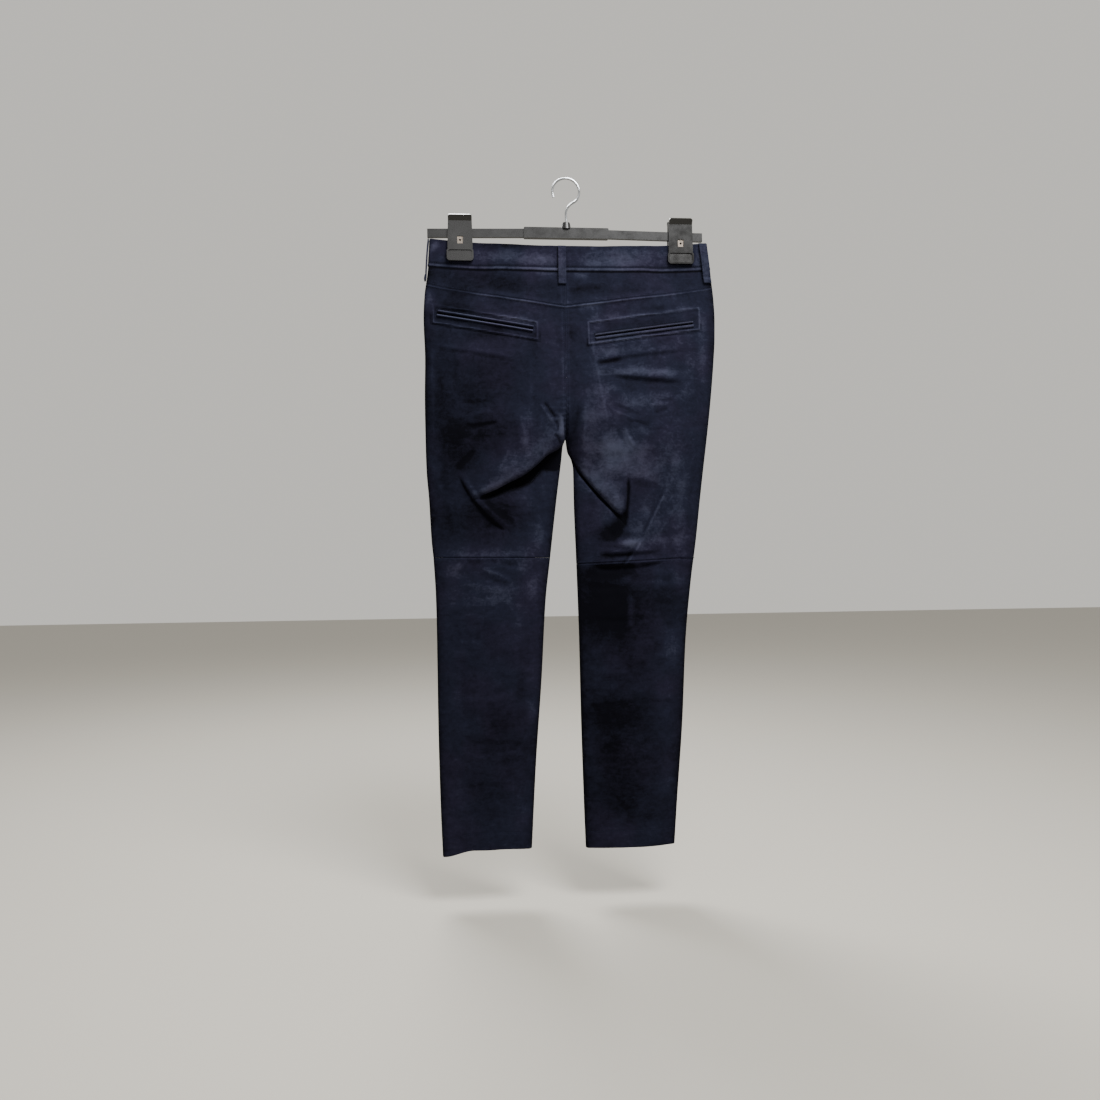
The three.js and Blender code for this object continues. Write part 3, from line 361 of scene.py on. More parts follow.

# Patches of the nap's colour, partly brushed nap and partly painted light and shade: centre, half sizes, turn
# in degrees, and how light (above 0) or dark (below 0)
NAP_COLUMNS = "x z half_x half_z turn tone"
NAP_EDGE = 1.3
NAP_AND_LIGHT = {
    BACK: table(NAP_COLUMNS, [
        # waistband and yoke
        (-90, -105, 60, 6, 0, -0.5), (-203, -108, 5, 9, -40, 0.6), (208, -118, 8, 18, 0, 0.5),
        (-92, -120, 12, 12, 0, 0.3), (-120, -122, 50, 9, -2, 0.3), (86, -122, 62, 15, 3, 0.45),
        (-46, -128, 30, 10, 0, 0.55), (38, -134, 16, 7, 0, 0.35), (90, -134, 44, 6, 3, 0.3),
        (-30, -146, 26, 8, 0, 0.5), (18, -150, 16, 7, 0, 0.45), (150, -160, 60, 14, 8, 0.05),
        (-120, -162, 100, 16, -8, -0.4), (28, -172, 24, 7, 6, -0.5), (-165, -176, 34, 12, -4, -0.35),
        (90, -176, 60, 8, 8, -0.1), (-214, -188, 8, 16, 0, 0.8), (-170, -196, 36, 16, -10, -0.3),
        (-140, -196, 60, 8, -13, 0.1), (32, -202, 16, 6, 6, 0.3), (136, -204, 22, 7, 8, -0.4),
        # pockets and upper seat
        (-170, -206, 34, 7, -10, -0.3), (130, -210, 64, 6, 9, 0.35), (68, -216, 14, 8, 0, 0.3),
        (178, -216, 20, 10, 8, 0.3), (-77, -229, 30, 11, -13, 0.6), (44, -232, 11, 28, 0, 0.5),
        (5, -242, 10, 14, 0, -0.35), (-124, -244, 26, 10, 0, -0.35), (120, -248, 70, 6, 8, 0.4),
        (212, -250, 8, 50, 0, 0.35), (146, -254, 18, 14, 0, -0.35), (-112, -262, 80, 8, -9, 0.15),
        (130, -262, 60, 8, 8, 0.25), (-54, -268, 8, 24, 0, -0.3), (-50, -272, 16, 34, 4, -0.1),
        (66, -272, 16, 8, 8, 0.35), (-190, -285, 22, 50, 0, -0.3), (62, -286, 20, 5, 8, -0.3),
        # lower seat and crotch
        (4, -300, 9, 90, 1, -0.15), (125, -300, 90, 60, 0, 0.2), (110, -302, 68, 6, 2, 0.3),
        (-128, -312, 50, 40, 0, -0.35), (-207, -314, 7, 36, 0, 0.25), (46, -320, 12, 40, 6, 0.25),
        (120, -326, 52, 11, 0, -0.3), (62, -328, 14, 8, 0, 0.35), (184, -331, 12, 9, 0, 0.3),
        (120, -342, 60, 12, 0, 0.25), (-140, -345, 40, 30, 0, -0.2), (30, -345, 14, 26, 0, 0.2),
        (-200, -352, 22, 30, 0, -0.45), (94, -355, 16, 10, 0, 0.3), (46, -370, 24, 12, 0, 0.35),
        (-14, -390, 7, 16, 10, 0.7), (-140, -392, 52, 24, 2, -0.5), (114, -393, 16, 10, 0, 0.4),
        (-67, -395, 9, 34, 0, 0.3), (30, -398, 14, 26, 0, 0.45), (66, -404, 20, 14, -20, 0.45),
        (-183, -405, 20, 50, 0, -0.3), (90, -410, 12, 18, -20, 0.3), (160, -410, 26, 30, 0, 0.2),
        (-42, -412, 12, 26, 0, 0.25), (62, -418, 24, 9, 0, 0.3),
        # thighs
        (-175, -425, 24, 40, 0, -0.2), (118, -428, 24, 14, -30, 0.65), (-150, -430, 36, 40, 0, -0.15),
        (70, -430, 34, 17, -12, 0.8), (125, -434, 14, 12, 0, -0.35), (-155, -436, 22, 13, 35, -0.4),
        (166, -440, 12, 12, 0, 0.3), (-92, -446, 12, 18, 0, 0.15), (117, -446, 14, 11, 0, 0.35),
        (58, -448, 18, 9, 0, 0.4), (86, -454, 14, 16, 0, 0.3), (14, -455, 14, 34, -20, 0.35),
        (32, -456, 14, 16, 0, 0.3), (110, -462, 22, 14, -30, 0.4), (-56, -463, 24, 10, 30, -0.35),
        (110, -472, 16, 7, -20, -0.4), (-122, -478, 34, 7, 28, 0.7), (174, -478, 10, 10, 0, 0.2),
        (50, -480, 26, 34, -36, 0.5), (-95, -487, 16, 8, 15, -0.4), (-196, -490, 14, 70, 0, -0.1),
        (-70, -490, 30, 20, 20, 0.1), (38, -495, 12, 14, 0, -0.4), (65, -500, 13, 18, -20, 0.15),
        (150, -500, 44, 64, 0, 0.25), (-66, -508, 12, 8, 0, 0.3), (76, -510, 12, 24, 0, 0.5),
        (-165, -520, 50, 40, 0, -0.2), (-105, -520, 40, 16, -15, -0.35), (-118, -526, 52, 38, 0, -0.5),
        (112, -530, 16, 30, -10, 0.2), (52, -534, 16, 14, 0, 0.5), (172, -536, 12, 40, 0, 0.25),
        (102, -545, 16, 9, 0, 0.35), (-50, -550, 14, 24, 0, 0.4), (64, -552, 24, 18, -30, -1.1),
        # knees
        (140, -562, 50, 8, 0, 0.25), (86, -563, 26, 8, -20, 0.8), (66, -570, 12, 7, 0, 0.3),
        (-118, -577, 86, 8, 0, 0.25), (68, -578, 16, 6, 0, 0.4), (-78, -598, 14, 12, 0, 0.4),
        (-182, -606, 14, 12, 0, 0.4), (56, -612, 50, 14, 0, -0.6), (172, -622, 14, 12, 0, 0.35),
        (120, -629, 44, 8, 0, 0.35), (-56, -640, 12, 22, 0, 0.3), (-113, -646, 18, 14, 0, 0.2),
        (-112, -646, 40, 18, 10, 0.3), (130, -650, 40, 26, 0, -0.3),
        # shins and hems
        (54, -662, 40, 52, 0, -0.9), (-134, -690, 20, 12, 0, -0.25), (-112, -690, 44, 40, 0, 0.12),
        (112, -706, 40, 40, 0, -0.1), (158, -730, 22, 36, 0, 0.5), (-120, -740, 70, 90, 0, -0.12),
        (94, -750, 20, 14, 0, -0.35), (-50, -755, 12, 50, 0, 0.15), (66, -758, 34, 10, 0, 0.25),
        (-58, -780, 9, 46, 2, 0.15), (-79, -790, 10, 14, 0, -0.3), (146, -797, 24, 26, 0, 0.25),
        (96, -815, 130, 240, 0, -0.32), (-62, -825, 10, 20, 0, 0.3), (66, -832, 44, 30, 0, -0.5),
        (148, -835, 20, 60, 0, 0.15), (-110, -862, 40, 42, 0, -0.3), (60, -882, 30, 26, 0, -0.25),
        (-120, -900, 70, 120, 0, -0.15), (60, -900, 16, 34, 0, -0.2), (-60, -930, 10, 40, 4, 0.1),
        (146, -930, 14, 24, 0, 0.3), (-136, -938, 22, 32, 10, -0.2), (66, -944, 48, 40, 0, -0.3),
        (-76, -966, 16, 18, 0, 0.15), (80, -972, 20, 14, 0, -0.35), (-82, -984, 20, 22, 0, 0.2),
        (120, -985, 30, 10, 0, -0.15), (-184, -990, 16, 36, 0, 0.15), (96, -1012, 60, 10, 0, 0.2),
    ]),
    FRONT: table(NAP_COLUMNS, [
        (-120, -120, 70, 14, 2, 0.4), (130, -122, 60, 14, -3, 0.3), (-110, -230, 70, 50, 12, 0.3),
        (120, -240, 64, 46, -10, -0.3), (-60, -340, 50, 30, 30, -0.35), (70, -338, 50, 30, -30, 0.35),
        (-140, -470, 56, 50, 0, 0.3), (140, -480, 50, 54, 0, 0.15), (-120, -590, 80, 24, 0, 0.5),
        (110, -598, 78, 24, 0, 0.45), (-100, -700, 50, 50, 10, -0.4), (90, -720, 46, 60, 0, -0.3),
        (-140, -860, 44, 60, 0, 0.25), (110, -880, 44, 60, 4, 0.3), (-90, -980, 50, 26, 0, -0.25),
        (70, -1000, 44, 24, 0, -0.3),
    ]),
}


# Cut pieces: what each is sewn to, and the flat size in metres and real area of the cut that shows
CUTS = table("name side face sewn_to width length area", [
    ("yoke_left", LEFT, BACK, "waistband_left", 0.218, 0.062, 0.0099),
    ("yoke_right", RIGHT, BACK, "waistband_right", 0.242, 0.062, 0.0108),
    ("back_upper_left", LEFT, BACK, "yoke_left", 0.240, 0.430, 0.0900),
    ("back_upper_right", RIGHT, BACK, "yoke_right", 0.256, 0.436, 0.0930),
    ("front_upper_left", LEFT, FRONT, "waistband_left", 0.250, 0.452, 0.0970),
    ("front_upper_right", RIGHT, FRONT, "waistband_right", 0.244, 0.462, 0.0990),
    ("back_lower_left", LEFT, BACK, "back_upper_left", 0.186, 0.486, 0.0780),
    ("back_lower_right", RIGHT, BACK, "back_upper_right", 0.190, 0.478, 0.0780),
    ("front_lower_left", LEFT, FRONT, "front_upper_left", 0.186, 0.486, 0.0780),
    ("front_lower_right", RIGHT, FRONT, "front_upper_right", 0.190, 0.478, 0.0780),
])
# Spacing of the meshes' rows and columns
YOKE_STEP, BACK_STEP, FRONT_STEP = 1.8, 2.0, 3.0
# Places of the rows nearest an edge, closer towards it
RIM_PLACES = np.array([0, 0.12, 0.35, 0.7, 1.15, 1.7, 2.4, 3.2, 4.2])

# The suede's noises, largest first, with the share each has of the tone. Brush marks are some centimetres
# across, and the fibre is drawn at 0.9 mm, coarser than the real 0.2 mm so that it shows.
SUEDE_NOISES = table("name scale detail roughness distortion share", [
    ("clouds", 24, 6, 0.62, 0.6, 0.45),
    ("streaks", 62, 5, 0.6, 1.1, 0.4),
    ("mottle", 130, 4, 0.7, 0.8, 0.55),
    ("fibre", 1100, 3, 0.7, 0, 0.25),
])
STREAK_STRETCH = 2.6
MIDDLE_TONE = 0.42

# Stage: the picture's middle, and each light's size, place and aim, in metres
PICTURE_MIDDLE = (-0.0305, 0, -0.575)
LIGHTS = table("name size spot aim", [
    ("key_light", 0.9, (0.5, -1.05, 1.1), (0, 0, -0.55)),
    ("fill_light", 0.3, (-0.18, -1.05, 0.24), (-0.16, 0, -0.12)),
    ("back_light", 0.9, (-0.5, 1.05, 1.1), (0, 0, -0.55)),
])
BACK_LIGHT_SHARE = 0.8
FLOOR_HALF = 6.0


def smooth(start, end, x):
    """3t^2 - 2t^3 of the clipped place t of x between start and end."""
    t = np.clip((x - start) / (end - start), 0, 1)
    return t * t * (3 - 2 * t)


def mix(a, b, t):
    """a + (b - a) t."""
    return a + (b - a) * t


def bead(distance, height, width):
    """A bead, or a groove where the height is negative: height times e^-(distance / width)^2."""
    return height * np.exp(-((distance / width) ** 2))


def arc(q):
    """A quarter circle: the square root of 1 - (1 - q)^2, q clipped to 0..1."""
    return np.sqrt(1 - (1 - np.clip(q, 0, 1)) ** 2)


def curve(keys, values, at):
    """Cubic through rows of keys and values with no overshoot: between two rows a Hermite cubic whose end
    slopes are the harmonic mean of the neighbouring slopes, or zero at a peak. It is level past the ends."""
    at = np.asarray(at, float)
    keys = np.asarray(keys, float)
    keys = keys.reshape(keys.shape + (1,) * (at.ndim + 1 - keys.ndim))
    values = np.asarray(values, float)
    values = values.reshape(values.shape + (1,) * (at.ndim + 1 - values.ndim))
    if keys[0].flat[0] > keys[-1].flat[0]:
        keys, values = keys[::-1], values[::-1]
    slope = np.diff(values, axis=0) / np.diff(keys, axis=0)
    product, total = slope[:-1] * slope[1:], slope[:-1] + slope[1:]
    middle = np.where(product > 0, 2 * product / np.where(product > 0, total, 1), 0)
    tangent = np.concatenate([slope[:1], middle, slope[-1:]])
    at = np.clip(at, keys[0], keys[-1])
    low = np.clip((at[None] >= keys).sum(axis=0) - 1, 0, len(keys) - 2)

    def pick(rows, index):
        rows = np.broadcast_to(rows, (len(rows),) + at.shape)
        return np.take_along_axis(rows, index[None], axis=0)[0]

    step = pick(keys, low + 1) - pick(keys, low)
    t = (at - pick(keys, low)) / step
    level = mix(pick(values, low), pick(values, low + 1), t * t * (3 - 2 * t))
    start = t * (1 - t) ** 2 * step * pick(tangent, low)
    end = t * t * (t - 1) * step * pick(tangent, low + 1)
    return level + start + end


def along(rows, key, name, at):
    """A table's column at a key, by the cubic above."""
    return curve(column(rows, key), column(rows, name), at)


def front_centre(z):
    """x of the front's centre line: from the crotch's to the fly's, eased by height."""
    return mix(CENTRE_X, FRONT_CENTRE_TOP_X, smooth(CROTCH_Z, BAND_FOOT["centre"], z))


def outer_x(side, z):
    """x of the side seam."""
    return along(SIDE_SEAM[side], "z", "x", z)


def inner_x(side, face, z):
    """x of the centre seam above the crotch and of the inseam below it."""
    z = np.asarray(z, float)
    centre = np.full(z.shape, float(CENTRE_X)) if face == BACK else front_centre(z)
    return np.where(z < CROTCH_Z, along(INSEAM[side], "z", "x", z), centre + SIGN[side] * SEAM_GAP / 2)


def across_waist(x):
    """Square of the share of the half waist from the silhouette's centre."""
    return ((x - SILHOUETTE_CENTRE_X) / WAIST_HALF) ** 2


def band_top(x):
    """Height of the waistband's upper edge, a shallow parabola."""
    return mix(BAND_TOP["centre"], BAND_TOP["side"], across_waist(x))


def band_foot(x):
    """Height of the waistband's lower edge, a shallow parabola."""
    return mix(BAND_FOOT["centre"], BAND_FOOT["side"], across_waist(x))


def pinch(x, z):
    """0 to 1, how firmly a clip presses the two layers together: full within a clip's width, easing out."""
    near = np.min([np.abs(x - clip) for clip in CLIP_X.values()], axis=0)
    return (1 - smooth(PINCH_HALF_WIDTH, PINCH_REACH, near)) * smooth(PINCH_END_Z, PINCH_FULL_Z, z)


def depth_at(side, face, share, x, z):
    """Half depth of the uncreased cloth: a quarter circle at the side seam plus a sine wave raised to a
    power, drawn down to nothing at the centre seam as the legs part, and limited where a clip presses."""
    full = along(FULLNESS, "z", face, z) - EDGE_RADIUS
    wave = along(FULLNESS, "z", "wave", z)
    width = np.abs(outer_x(side, z) - inner_x(side, face, z))

    def lens(s):
        return full * np.maximum(0, np.sin(np.pi * wave * s)) ** LENS_POWER

    open_depth = EDGE_RADIUS * arc(share * width / EDGE_RADIUS) + lens(share)
    parted = np.clip((CLEFT_TOP_Z - z) / (CLEFT_TOP_Z - CROTCH_Z), 0, 1)
    seam = np.where(z < CROTCH_Z, 0, np.sqrt(1 - parted**2)) * (EDGE_RADIUS + lens(1))
    from_seam = (1 - share) * width / along(FULLNESS, "z", "cleft", z)
    depth = np.where(z > CLEFT_TOP_Z, open_depth, seam + (open_depth - seam) * arc(from_seam))
    return depth - np.maximum(0, depth - PINCH_DEPTH) * pinch(x, z)


def nearest_on_curve(row, x, z):
    """Signed distance from a quadratic curve (positive on its left hand) and the place 0..1 along it, by
    the nearest of its short straight pieces."""
    best, place = np.full(np.shape(x), np.inf), np.zeros(np.shape(x))
    from_x, from_z = row["x0"], row["z0"]
    for i in range(1, CREASE_STEPS + 1):
        t = i / CREASE_STEPS
        weights = ((1 - t) ** 2, 2 * t * (1 - t), t * t)
        to_x = sum(w * row[k] for w, k in zip(weights, ("x0", "xm", "x1")))
        to_z = sum(w * row[k] for w, k in zip(weights, ("z0", "zm", "z1")))
        dx, dz = to_x - from_x, to_z - from_z
        k = np.clip(((x - from_x) * dx + (z - from_z) * dz) / (dx * dx + dz * dz), 0, 1)
        px, pz = x - from_x - k * dx, z - from_z - k * dz
        distance = np.hypot(px, pz)
        closer = distance < np.abs(best)
        best = np.where(closer, distance * np.where(dx * pz - dz * px < 0, -1, 1), best)
        place = np.where(closer, (i - 1 + k) / CREASE_STEPS, place)
        from_x, from_z = to_x, to_z
    return best, place


def eased(t, ends):
    """1 along a curve, eased to 0 over a share of it at each end."""
    return smooth(0, ends, t) * smooth(1, 1 - ends, t)


def crease_out(face, x, z):
    """Sum of the larger creases: a lip on one side of each curve and a drop on the other, both exponential,
    eased into each other across the curve and faded at its ends."""
    total = np.zeros(np.shape(x))
    for row in CREASES[face]:
        distance, t = nearest_on_curve(row, x, z)
        upper = smooth(-CREASE_BLEND, CREASE_BLEND, distance)
        lip = row["lip"] * np.exp(-np.maximum(distance, 0) / row["lip_reach"]) * upper
        drop = row["drop"] * np.exp(np.minimum(distance, 0) / row["drop_reach"]) * (1 - upper)
        total += (lip - drop) * eased(t, CREASE_ENDS)
    return total


def crotch_fold(side, face, share, z):
    """Outward and upward shifts of the fold from the crotch: its section's cubic at the height above the
    lip, times its strength at that share."""
    rows = CROTCH_FOLD[side, face]
    strength = along(rows, "share", "strength", share)
    hollow = along(rows, "share", "hollow", share)
    above = z - along(rows, "share", "z", share)
    spread = (slice(None),) + (None,) * np.ndim(above)
    keys = column(FOLD_SECTION, "above")[spread] + column(FOLD_SECTION, "hollow_share")[spread] * hollow
    out = curve(keys, column(FOLD_SECTION, "out"), above)
    rise = curve(keys, column(FOLD_SECTION, "rise"), above)
    return strength * out, strength * rise


def lap_reach(side, face, z):
    """How far the left front reaches over the right one."""
    laps = 1 if (side, face) == (LEFT, FRONT) else 0
    return laps * FLY_LAP * smooth(FLY_END_Z, FLY_FULL_Z, z)


def lap_lift(side, face, z):
    """How far the left front's edge is lifted to clear the right one."""
    laps = 1 if (side, face) == (LEFT, FRONT) else 0
    return laps * (LEATHER + LAP_CLEARANCE) * smooth(LIFT_START_Z, LIFT_FULL_Z, z)


def pocket_line(side):
    """A pocket line's inner end, its unit direction to the outer end, and its length."""
    (x0, z0), (x1, z1) = POCKETS[side]["inner"], POCKETS[side]["outer"]
    length = math.hypot(x1 - x0, z1 - z0)
    return x0, z0, (x1 - x0) / length, (z1 - z0) / length, length


def pocket_point(side, run, across):
    """x and z at a distance along a pocket's line from its inner end and a distance square to it."""
    x0, z0, ux, uz, _ = pocket_line(side)
    return x0 + ux * run - uz * across, z0 + uz * run + ux * across


def pocket_place(side, x, z):
    """Places along and square above a pocket's line from its middle, its length, and x from its middle."""
    x0, z0, ux, uz, length = pocket_line(side)
    px, pz = x - x0 - ux * length / 2, z - z0 - uz * length / 2
    return SIGN[side] * (px * ux + pz * uz), SIGN[side] * (pz * ux - px * uz), length, px


def pocket_relief(x, z):
    """A raised line on the rectangle pressed round each pocket, a dent just under its lower side, the cloth
    a little sunk inside it, and a groove along the slit."""
    total = np.zeros(np.shape(x))
    frame = POCKET_FRAME
    for side in (LEFT, RIGHT):
        u, v, length, px = pocket_place(side, x, z)
        height = np.where(v > 0, frame["above"][side], frame["below"][side])
        outside = np.maximum(np.abs(px) - length / 2 - frame["end"][side], np.abs(v) - height)
        total += bead(outside, frame["raised"], frame["line"]) - frame["pressed"] * smooth(1, -2, outside)
        total -= bead(outside - frame["shade"], frame["shaded"], frame["line"]) * smooth(0, -4, v)
        total -= bead(v, frame["slit"], WELT["slit"]) * smooth(length / 2, length / 2 - 2, np.abs(u))
    return total


def yoke_line(share):
    """Height of the yoke seam by share."""
    return mix(YOKE_SEAM["side"], YOKE_SEAM["centre"], np.minimum(share, 1) ** YOKE_BEND)


def knee_line(side, share):
    """Height of the knee seam by share."""
    return mix(KNEE_SEAM[side]["outer"], KNEE_SEAM[side]["inner"], share)


def hem_line(side, share):
    """Height of the hem by share, drooping at its corners."""
    hem = HEM[side]

    def corner(s):
        return 1 - smooth(0, HEM_CORNER, s)

    return hem["z"] - hem["outer_droop"] * corner(share) - hem["inner_droop"] * corner(1 - share)


def centre_seam_relief(x, z):
    """The seat seam's allowances raised, a groove at its stitches, and puckers that die away from it near
    the crotch: a sine of the height swung by a slower sine, and staggered between the seam's two sides."""
    off = np.abs(x - CENTRE_X)
    top = YOKE_SEAM["centre"] + 30
    in_seat = smooth(CROTCH_Z - 2, CROTCH_Z + 12, z) * smooth(top + 15, top, z)
    seam = CENTRE_SEAM["allowance"] * smooth(CENTRE_SEAM["width"], CENTRE_SEAM["width"] - 2, off)
    seam = seam - bead(off - ROWS["centre"], CENTRE_SEAM["groove"], CENTRE_SEAM["groove_width"])
    near_crotch = smooth(CENTRE_SEAM["pucker_start_z"], CENTRE_SEAM["pucker_full_z"], z)
    near_crotch = near_crotch * smooth(CROTCH_Z - 6, CROTCH_Z + 8, z)
    swing = CENTRE_SEAM["swing"] * np.sin(z / 21) + np.where(x > CENTRE_X, CENTRE_SEAM["stagger"], 0)
    pucker = CENTRE_SEAM["pucker"] * np.sin(2 * np.pi * (z / CENTRE_SEAM["pucker_pitch"] + swing))
    pucker = pucker * np.exp(-off / CENTRE_SEAM["pucker_reach"])
    return seam * in_seat + pucker * near_crotch


def seam_relief(side, face, share, x, z):
    """Low relief of the sewn seams: allowances raised beside a seam, and the dents that stitches pull."""
    above = {"knee": z - knee_line(side, share), "hem": z - hem_line(side, share) - HEM_DEPTH}
    if face == BACK:
        above["yoke"] = z - yoke_line(share)
    rows = [row for row in SEAM_BEADS if row["seam"] in above]
    relief = sum(bead(above[row["seam"]] - row["above"], row["height"], row["width"]) for row in rows)
    if face == BACK:
        relief += YOKE_ALLOWANCE * smooth(-1, 0.5, above["yoke"]) * smooth(9, 6, above["yoke"])
        relief += centre_seam_relief(x, z)
    return relief


def undulation(x, z):
    """Slack of the hide: crossed sine waves of shrinking length summed, each bent by a wave across it."""
    total = np.zeros(np.shape(x))
    for row in UNDULATIONS:
        turn = math.radians(row["turn"])
        u = x * math.cos(turn) + z * math.sin(turn)
        v = z * math.cos(turn) - x * math.sin(turn)
        warp = 0.8 * np.sin(v / row["length"] * 2.3 + row["phase"] * 2)
        total += row["height"] * np.sin(2 * np.pi * u / row["length"] + warp + row["phase"])
    return total


def relief_at(side, face, share, x, z):
    """Low relief: ridges and troughs as Gaussians beside their curves, seams, and pocket frames."""
    total = np.zeros(np.shape(x))
    for row in RIDGES[face]:
        distance, t = nearest_on_curve(row, x, z)
        total += bead(distance, row["height"], row["width"]) * eased(t, RIDGE_ENDS)
    total = total * smooth(0, RIDGE_FADE, share * PANEL_WIDTH["upper"]) + seam_relief(side, face, share, x, z)
    if face == BACK:
        total += pocket_relief(x, z)
    return total * (1 - pinch(x, z))


def draped(side, face, share, z, detail=True):
    """Points of the cloth's outer surface in mm: x between side seam and centre by share, y the half depth
    with folds, creases and relief added, z the height with the fold's rise. Also the shifts out of the
    folds with the creases, and of the relief, each in mm."""
    share, z = np.broadcast_arrays(np.asarray(share, float), np.asarray(z, float))
    outer, inner = outer_x(side, z), inner_x(side, face, z)
    x = mix(outer, inner, share)
    width = np.abs(outer - inner)
    out, rise = crotch_fold(side, face, share, z)
    at_inseam = np.where(z < CROTCH_Z, smooth(0, EDGE_FADE, (1 - share) * width), 1)
    fade = smooth(0, EDGE_FADE, share * width) * at_inseam
    depth = depth_at(side, face, share, x, z)
    folded = out + crease_out(face, x, z) * fade
    depth = np.maximum(depth + folded, np.minimum(depth, LEAST_DEPTH))
    relief, slack = np.zeros(np.shape(x)), 0
    if detail:
        relief = relief_at(side, face, share, x, z) * smooth(0, RELIEF_FADE, share * width)
        slack = undulation(x + FACE_SHIFT * FACE[face], z) * smooth(0, SLACK_FADE, share * width)
        slack = slack * (1 - pinch(x, z))
    depth = depth + (relief + slack) * smooth(0, THIN_FADE, depth)
    lift = lap_lift(side, face, z) * smooth(*LAP_EASE, x - inner)
    y = FACE[face] * (depth + lift + SEAM_GAP / 2)
    return np.stack([x, y, z + rise], axis=-1), folded, relief


def surface(side, face, share, z, detail=True):
    """The draped cloth's points alone."""
    return draped(side, face, share, z, detail)[0]


def normals_of(grid, outward_y):
    """Unit normals of a grid from its row and column differences, turned so that most face outward_y."""
    across, down = np.gradient(grid, axis=1), np.gradient(grid, axis=0)
    normal = np.cross(across, down)
    normal /= np.maximum(np.linalg.norm(normal, axis=-1, keepdims=True), 1e-9)
    return normal if normal[..., 1].sum() * outward_y > 0 else -normal


def edge_distance(grid):
    """Distance in mm from each point of a grid to the nearest of its four edges, along the grid."""
    def from_ends(axis):
        step = np.linalg.norm(np.diff(grid, axis=axis), axis=-1)
        pad = [(1, 0) if a == axis else (0, 0) for a in range(2)]
        run = np.cumsum(np.pad(step, pad), axis=axis)
        return np.minimum(run, np.take(run, [-1], axis=axis) - run)

    return np.minimum(from_ends(0), from_ends(1))


def spaced(length, step, start=True, end=True):
    """Places from 0 to 1 along a length in mm, about a step apart, and closer at the ends asked for."""
    first = RIM_PLACES if start else np.array([0.0])
    last = (length - RIM_PLACES)[::-1] if end else np.array([float(length)])
    count = max(int(round((last[0] - first[-1]) / step)), 1)
    middle = np.linspace(first[-1], last[0], count + 1)[1:-1]
    return np.concatenate([first, middle, last]) / length


def wall_mesh(name, outer, inner, tone=None):
    """A closed body between two grids of the same size: both as quads, and a strip round their rims."""
    rows, columns = outer.shape[:2]
    points = np.concatenate([outer.reshape(-1, 3), inner.reshape(-1, 3)]) * MM
    index = np.arange(rows * columns).reshape(rows, columns)
    back = index + rows * columns

    def quads(a, b, c, d):
        return np.stack([a.ravel(), b.ravel(), c.ravel(), d.ravel()], axis=-1)

    sides = [
        quads(index[:-1, :-1], index[1:, :-1], index[1:, 1:], index[:-1, 1:]),
        quads(back[:-1, :-1], back[:-1, 1:], back[1:, 1:], back[1:, :-1]),
        quads(index[0, :-1], index[0, 1:], back[0, 1:], back[0, :-1]),
        quads(index[-1, 1:], index[-1, :-1], back[-1, :-1], back[-1, 1:]),
        quads(index[1:, 0], index[:-1, 0], back[:-1, 0], back[1:, 0]),
        quads(index[:-1, -1], index[1:, -1], back[1:, -1], back[:-1, -1]),
    ]
    faces = outward_faces(points, np.concatenate(sides))
    return mesh_object(name, points, faces, None if tone is None else np.concatenate([tone.ravel()] * 2))


def outward_faces(points, faces):
    """The faces turned over if the volume under them, the sum of a . (b x c + c x d), is negative."""
    a, b, c, d = (points[faces[:, i]] for i in range(4))
    volume = np.einsum("ij,ij->", a, np.cross(b, c) + np.cross(c, d))
    return faces[:, ::-1] if volume < 0 else faces


def mesh_object(name, points, faces, tone=None, sharp=50):
    """A mesh object at the origin from points in metres and quads, smooth but for edges above an angle,
    with an optional nap tone per point, which carries painted light and shade as well as the nap."""
    mesh = bpy.data.meshes.new(name)
    mesh.vertices.add(len(points))
    mesh.vertices.foreach_set("co", points.astype(np.float32).ravel())
    mesh.loops.add(faces.size)
    mesh.loops.foreach_set("vertex_index", faces.astype(np.int32).ravel())
    mesh.polygons.add(len(faces))
    mesh.polygons.foreach_set("loop_start", np.arange(0, faces.size, faces.shape[1], dtype=np.int32))
    mesh.update(calc_edges=True)
    mesh.validate()
    mesh.shade_smooth()
    mesh.set_sharp_from_angle(angle=math.radians(sharp))
    if tone is not None:
        nap = mesh.attributes.new("nap", "FLOAT", "POINT")
        nap.data.foreach_set("value", tone.astype(np.float32).ravel())
    made = bpy.data.objects.new(name, mesh)
    bpy.context.scene.collection.objects.link(made)
    return made


def painted_fold_shading(folded, relief):
    """Painted light and shade from folding: a painted highlight where the cloth stands out, painted shade in
    troughs and hollows.
    """
    hollow = np.clip(-(folded + HOLLOW_START) / HOLLOW_DEPTH, 0, 1)
    lip = LIP_HIGHLIGHT * np.clip(folded, 0, LIP_HEIGHT)
    return RIDGE_SHADING * np.clip(relief, -3, 1.4) + lip - HOLLOW_SHADE * hollow


def painted_edge_shade(side, face, share, z):
    """Painted shade on the nap where a leg's cloth turns round its side seam and inseam, by exponentials."""
    width = np.abs(outer_x(side, z) - inner_x(side, face, z))
    inseam = np.where(z < CROTCH_Z, np.abs(1 - share) * width, EDGE_FADE)
    return EDGE_SHADE * (np.exp(-share * width / EDGE_REACH) + np.exp(-inseam / EDGE_REACH))


def nap_and_painted_light(face, x, z):
    """Lightness of the brushed nap and of painted light and shade: soft-edged ellipses summed."""
    total = np.zeros(np.shape(x))
    for row in NAP_AND_LIGHT[face]:
        turn = math.radians(row["turn"])
        dx, dz = x - row["x"], z - row["z"]
        u = (dx * math.cos(turn) + dz * math.sin(turn)) / row["half_x"]
        v = (dz * math.cos(turn) - dx * math.sin(turn)) / row["half_z"]
        total += row["tone"] * np.exp(-((u * u + v * v) ** NAP_EDGE))
    return total


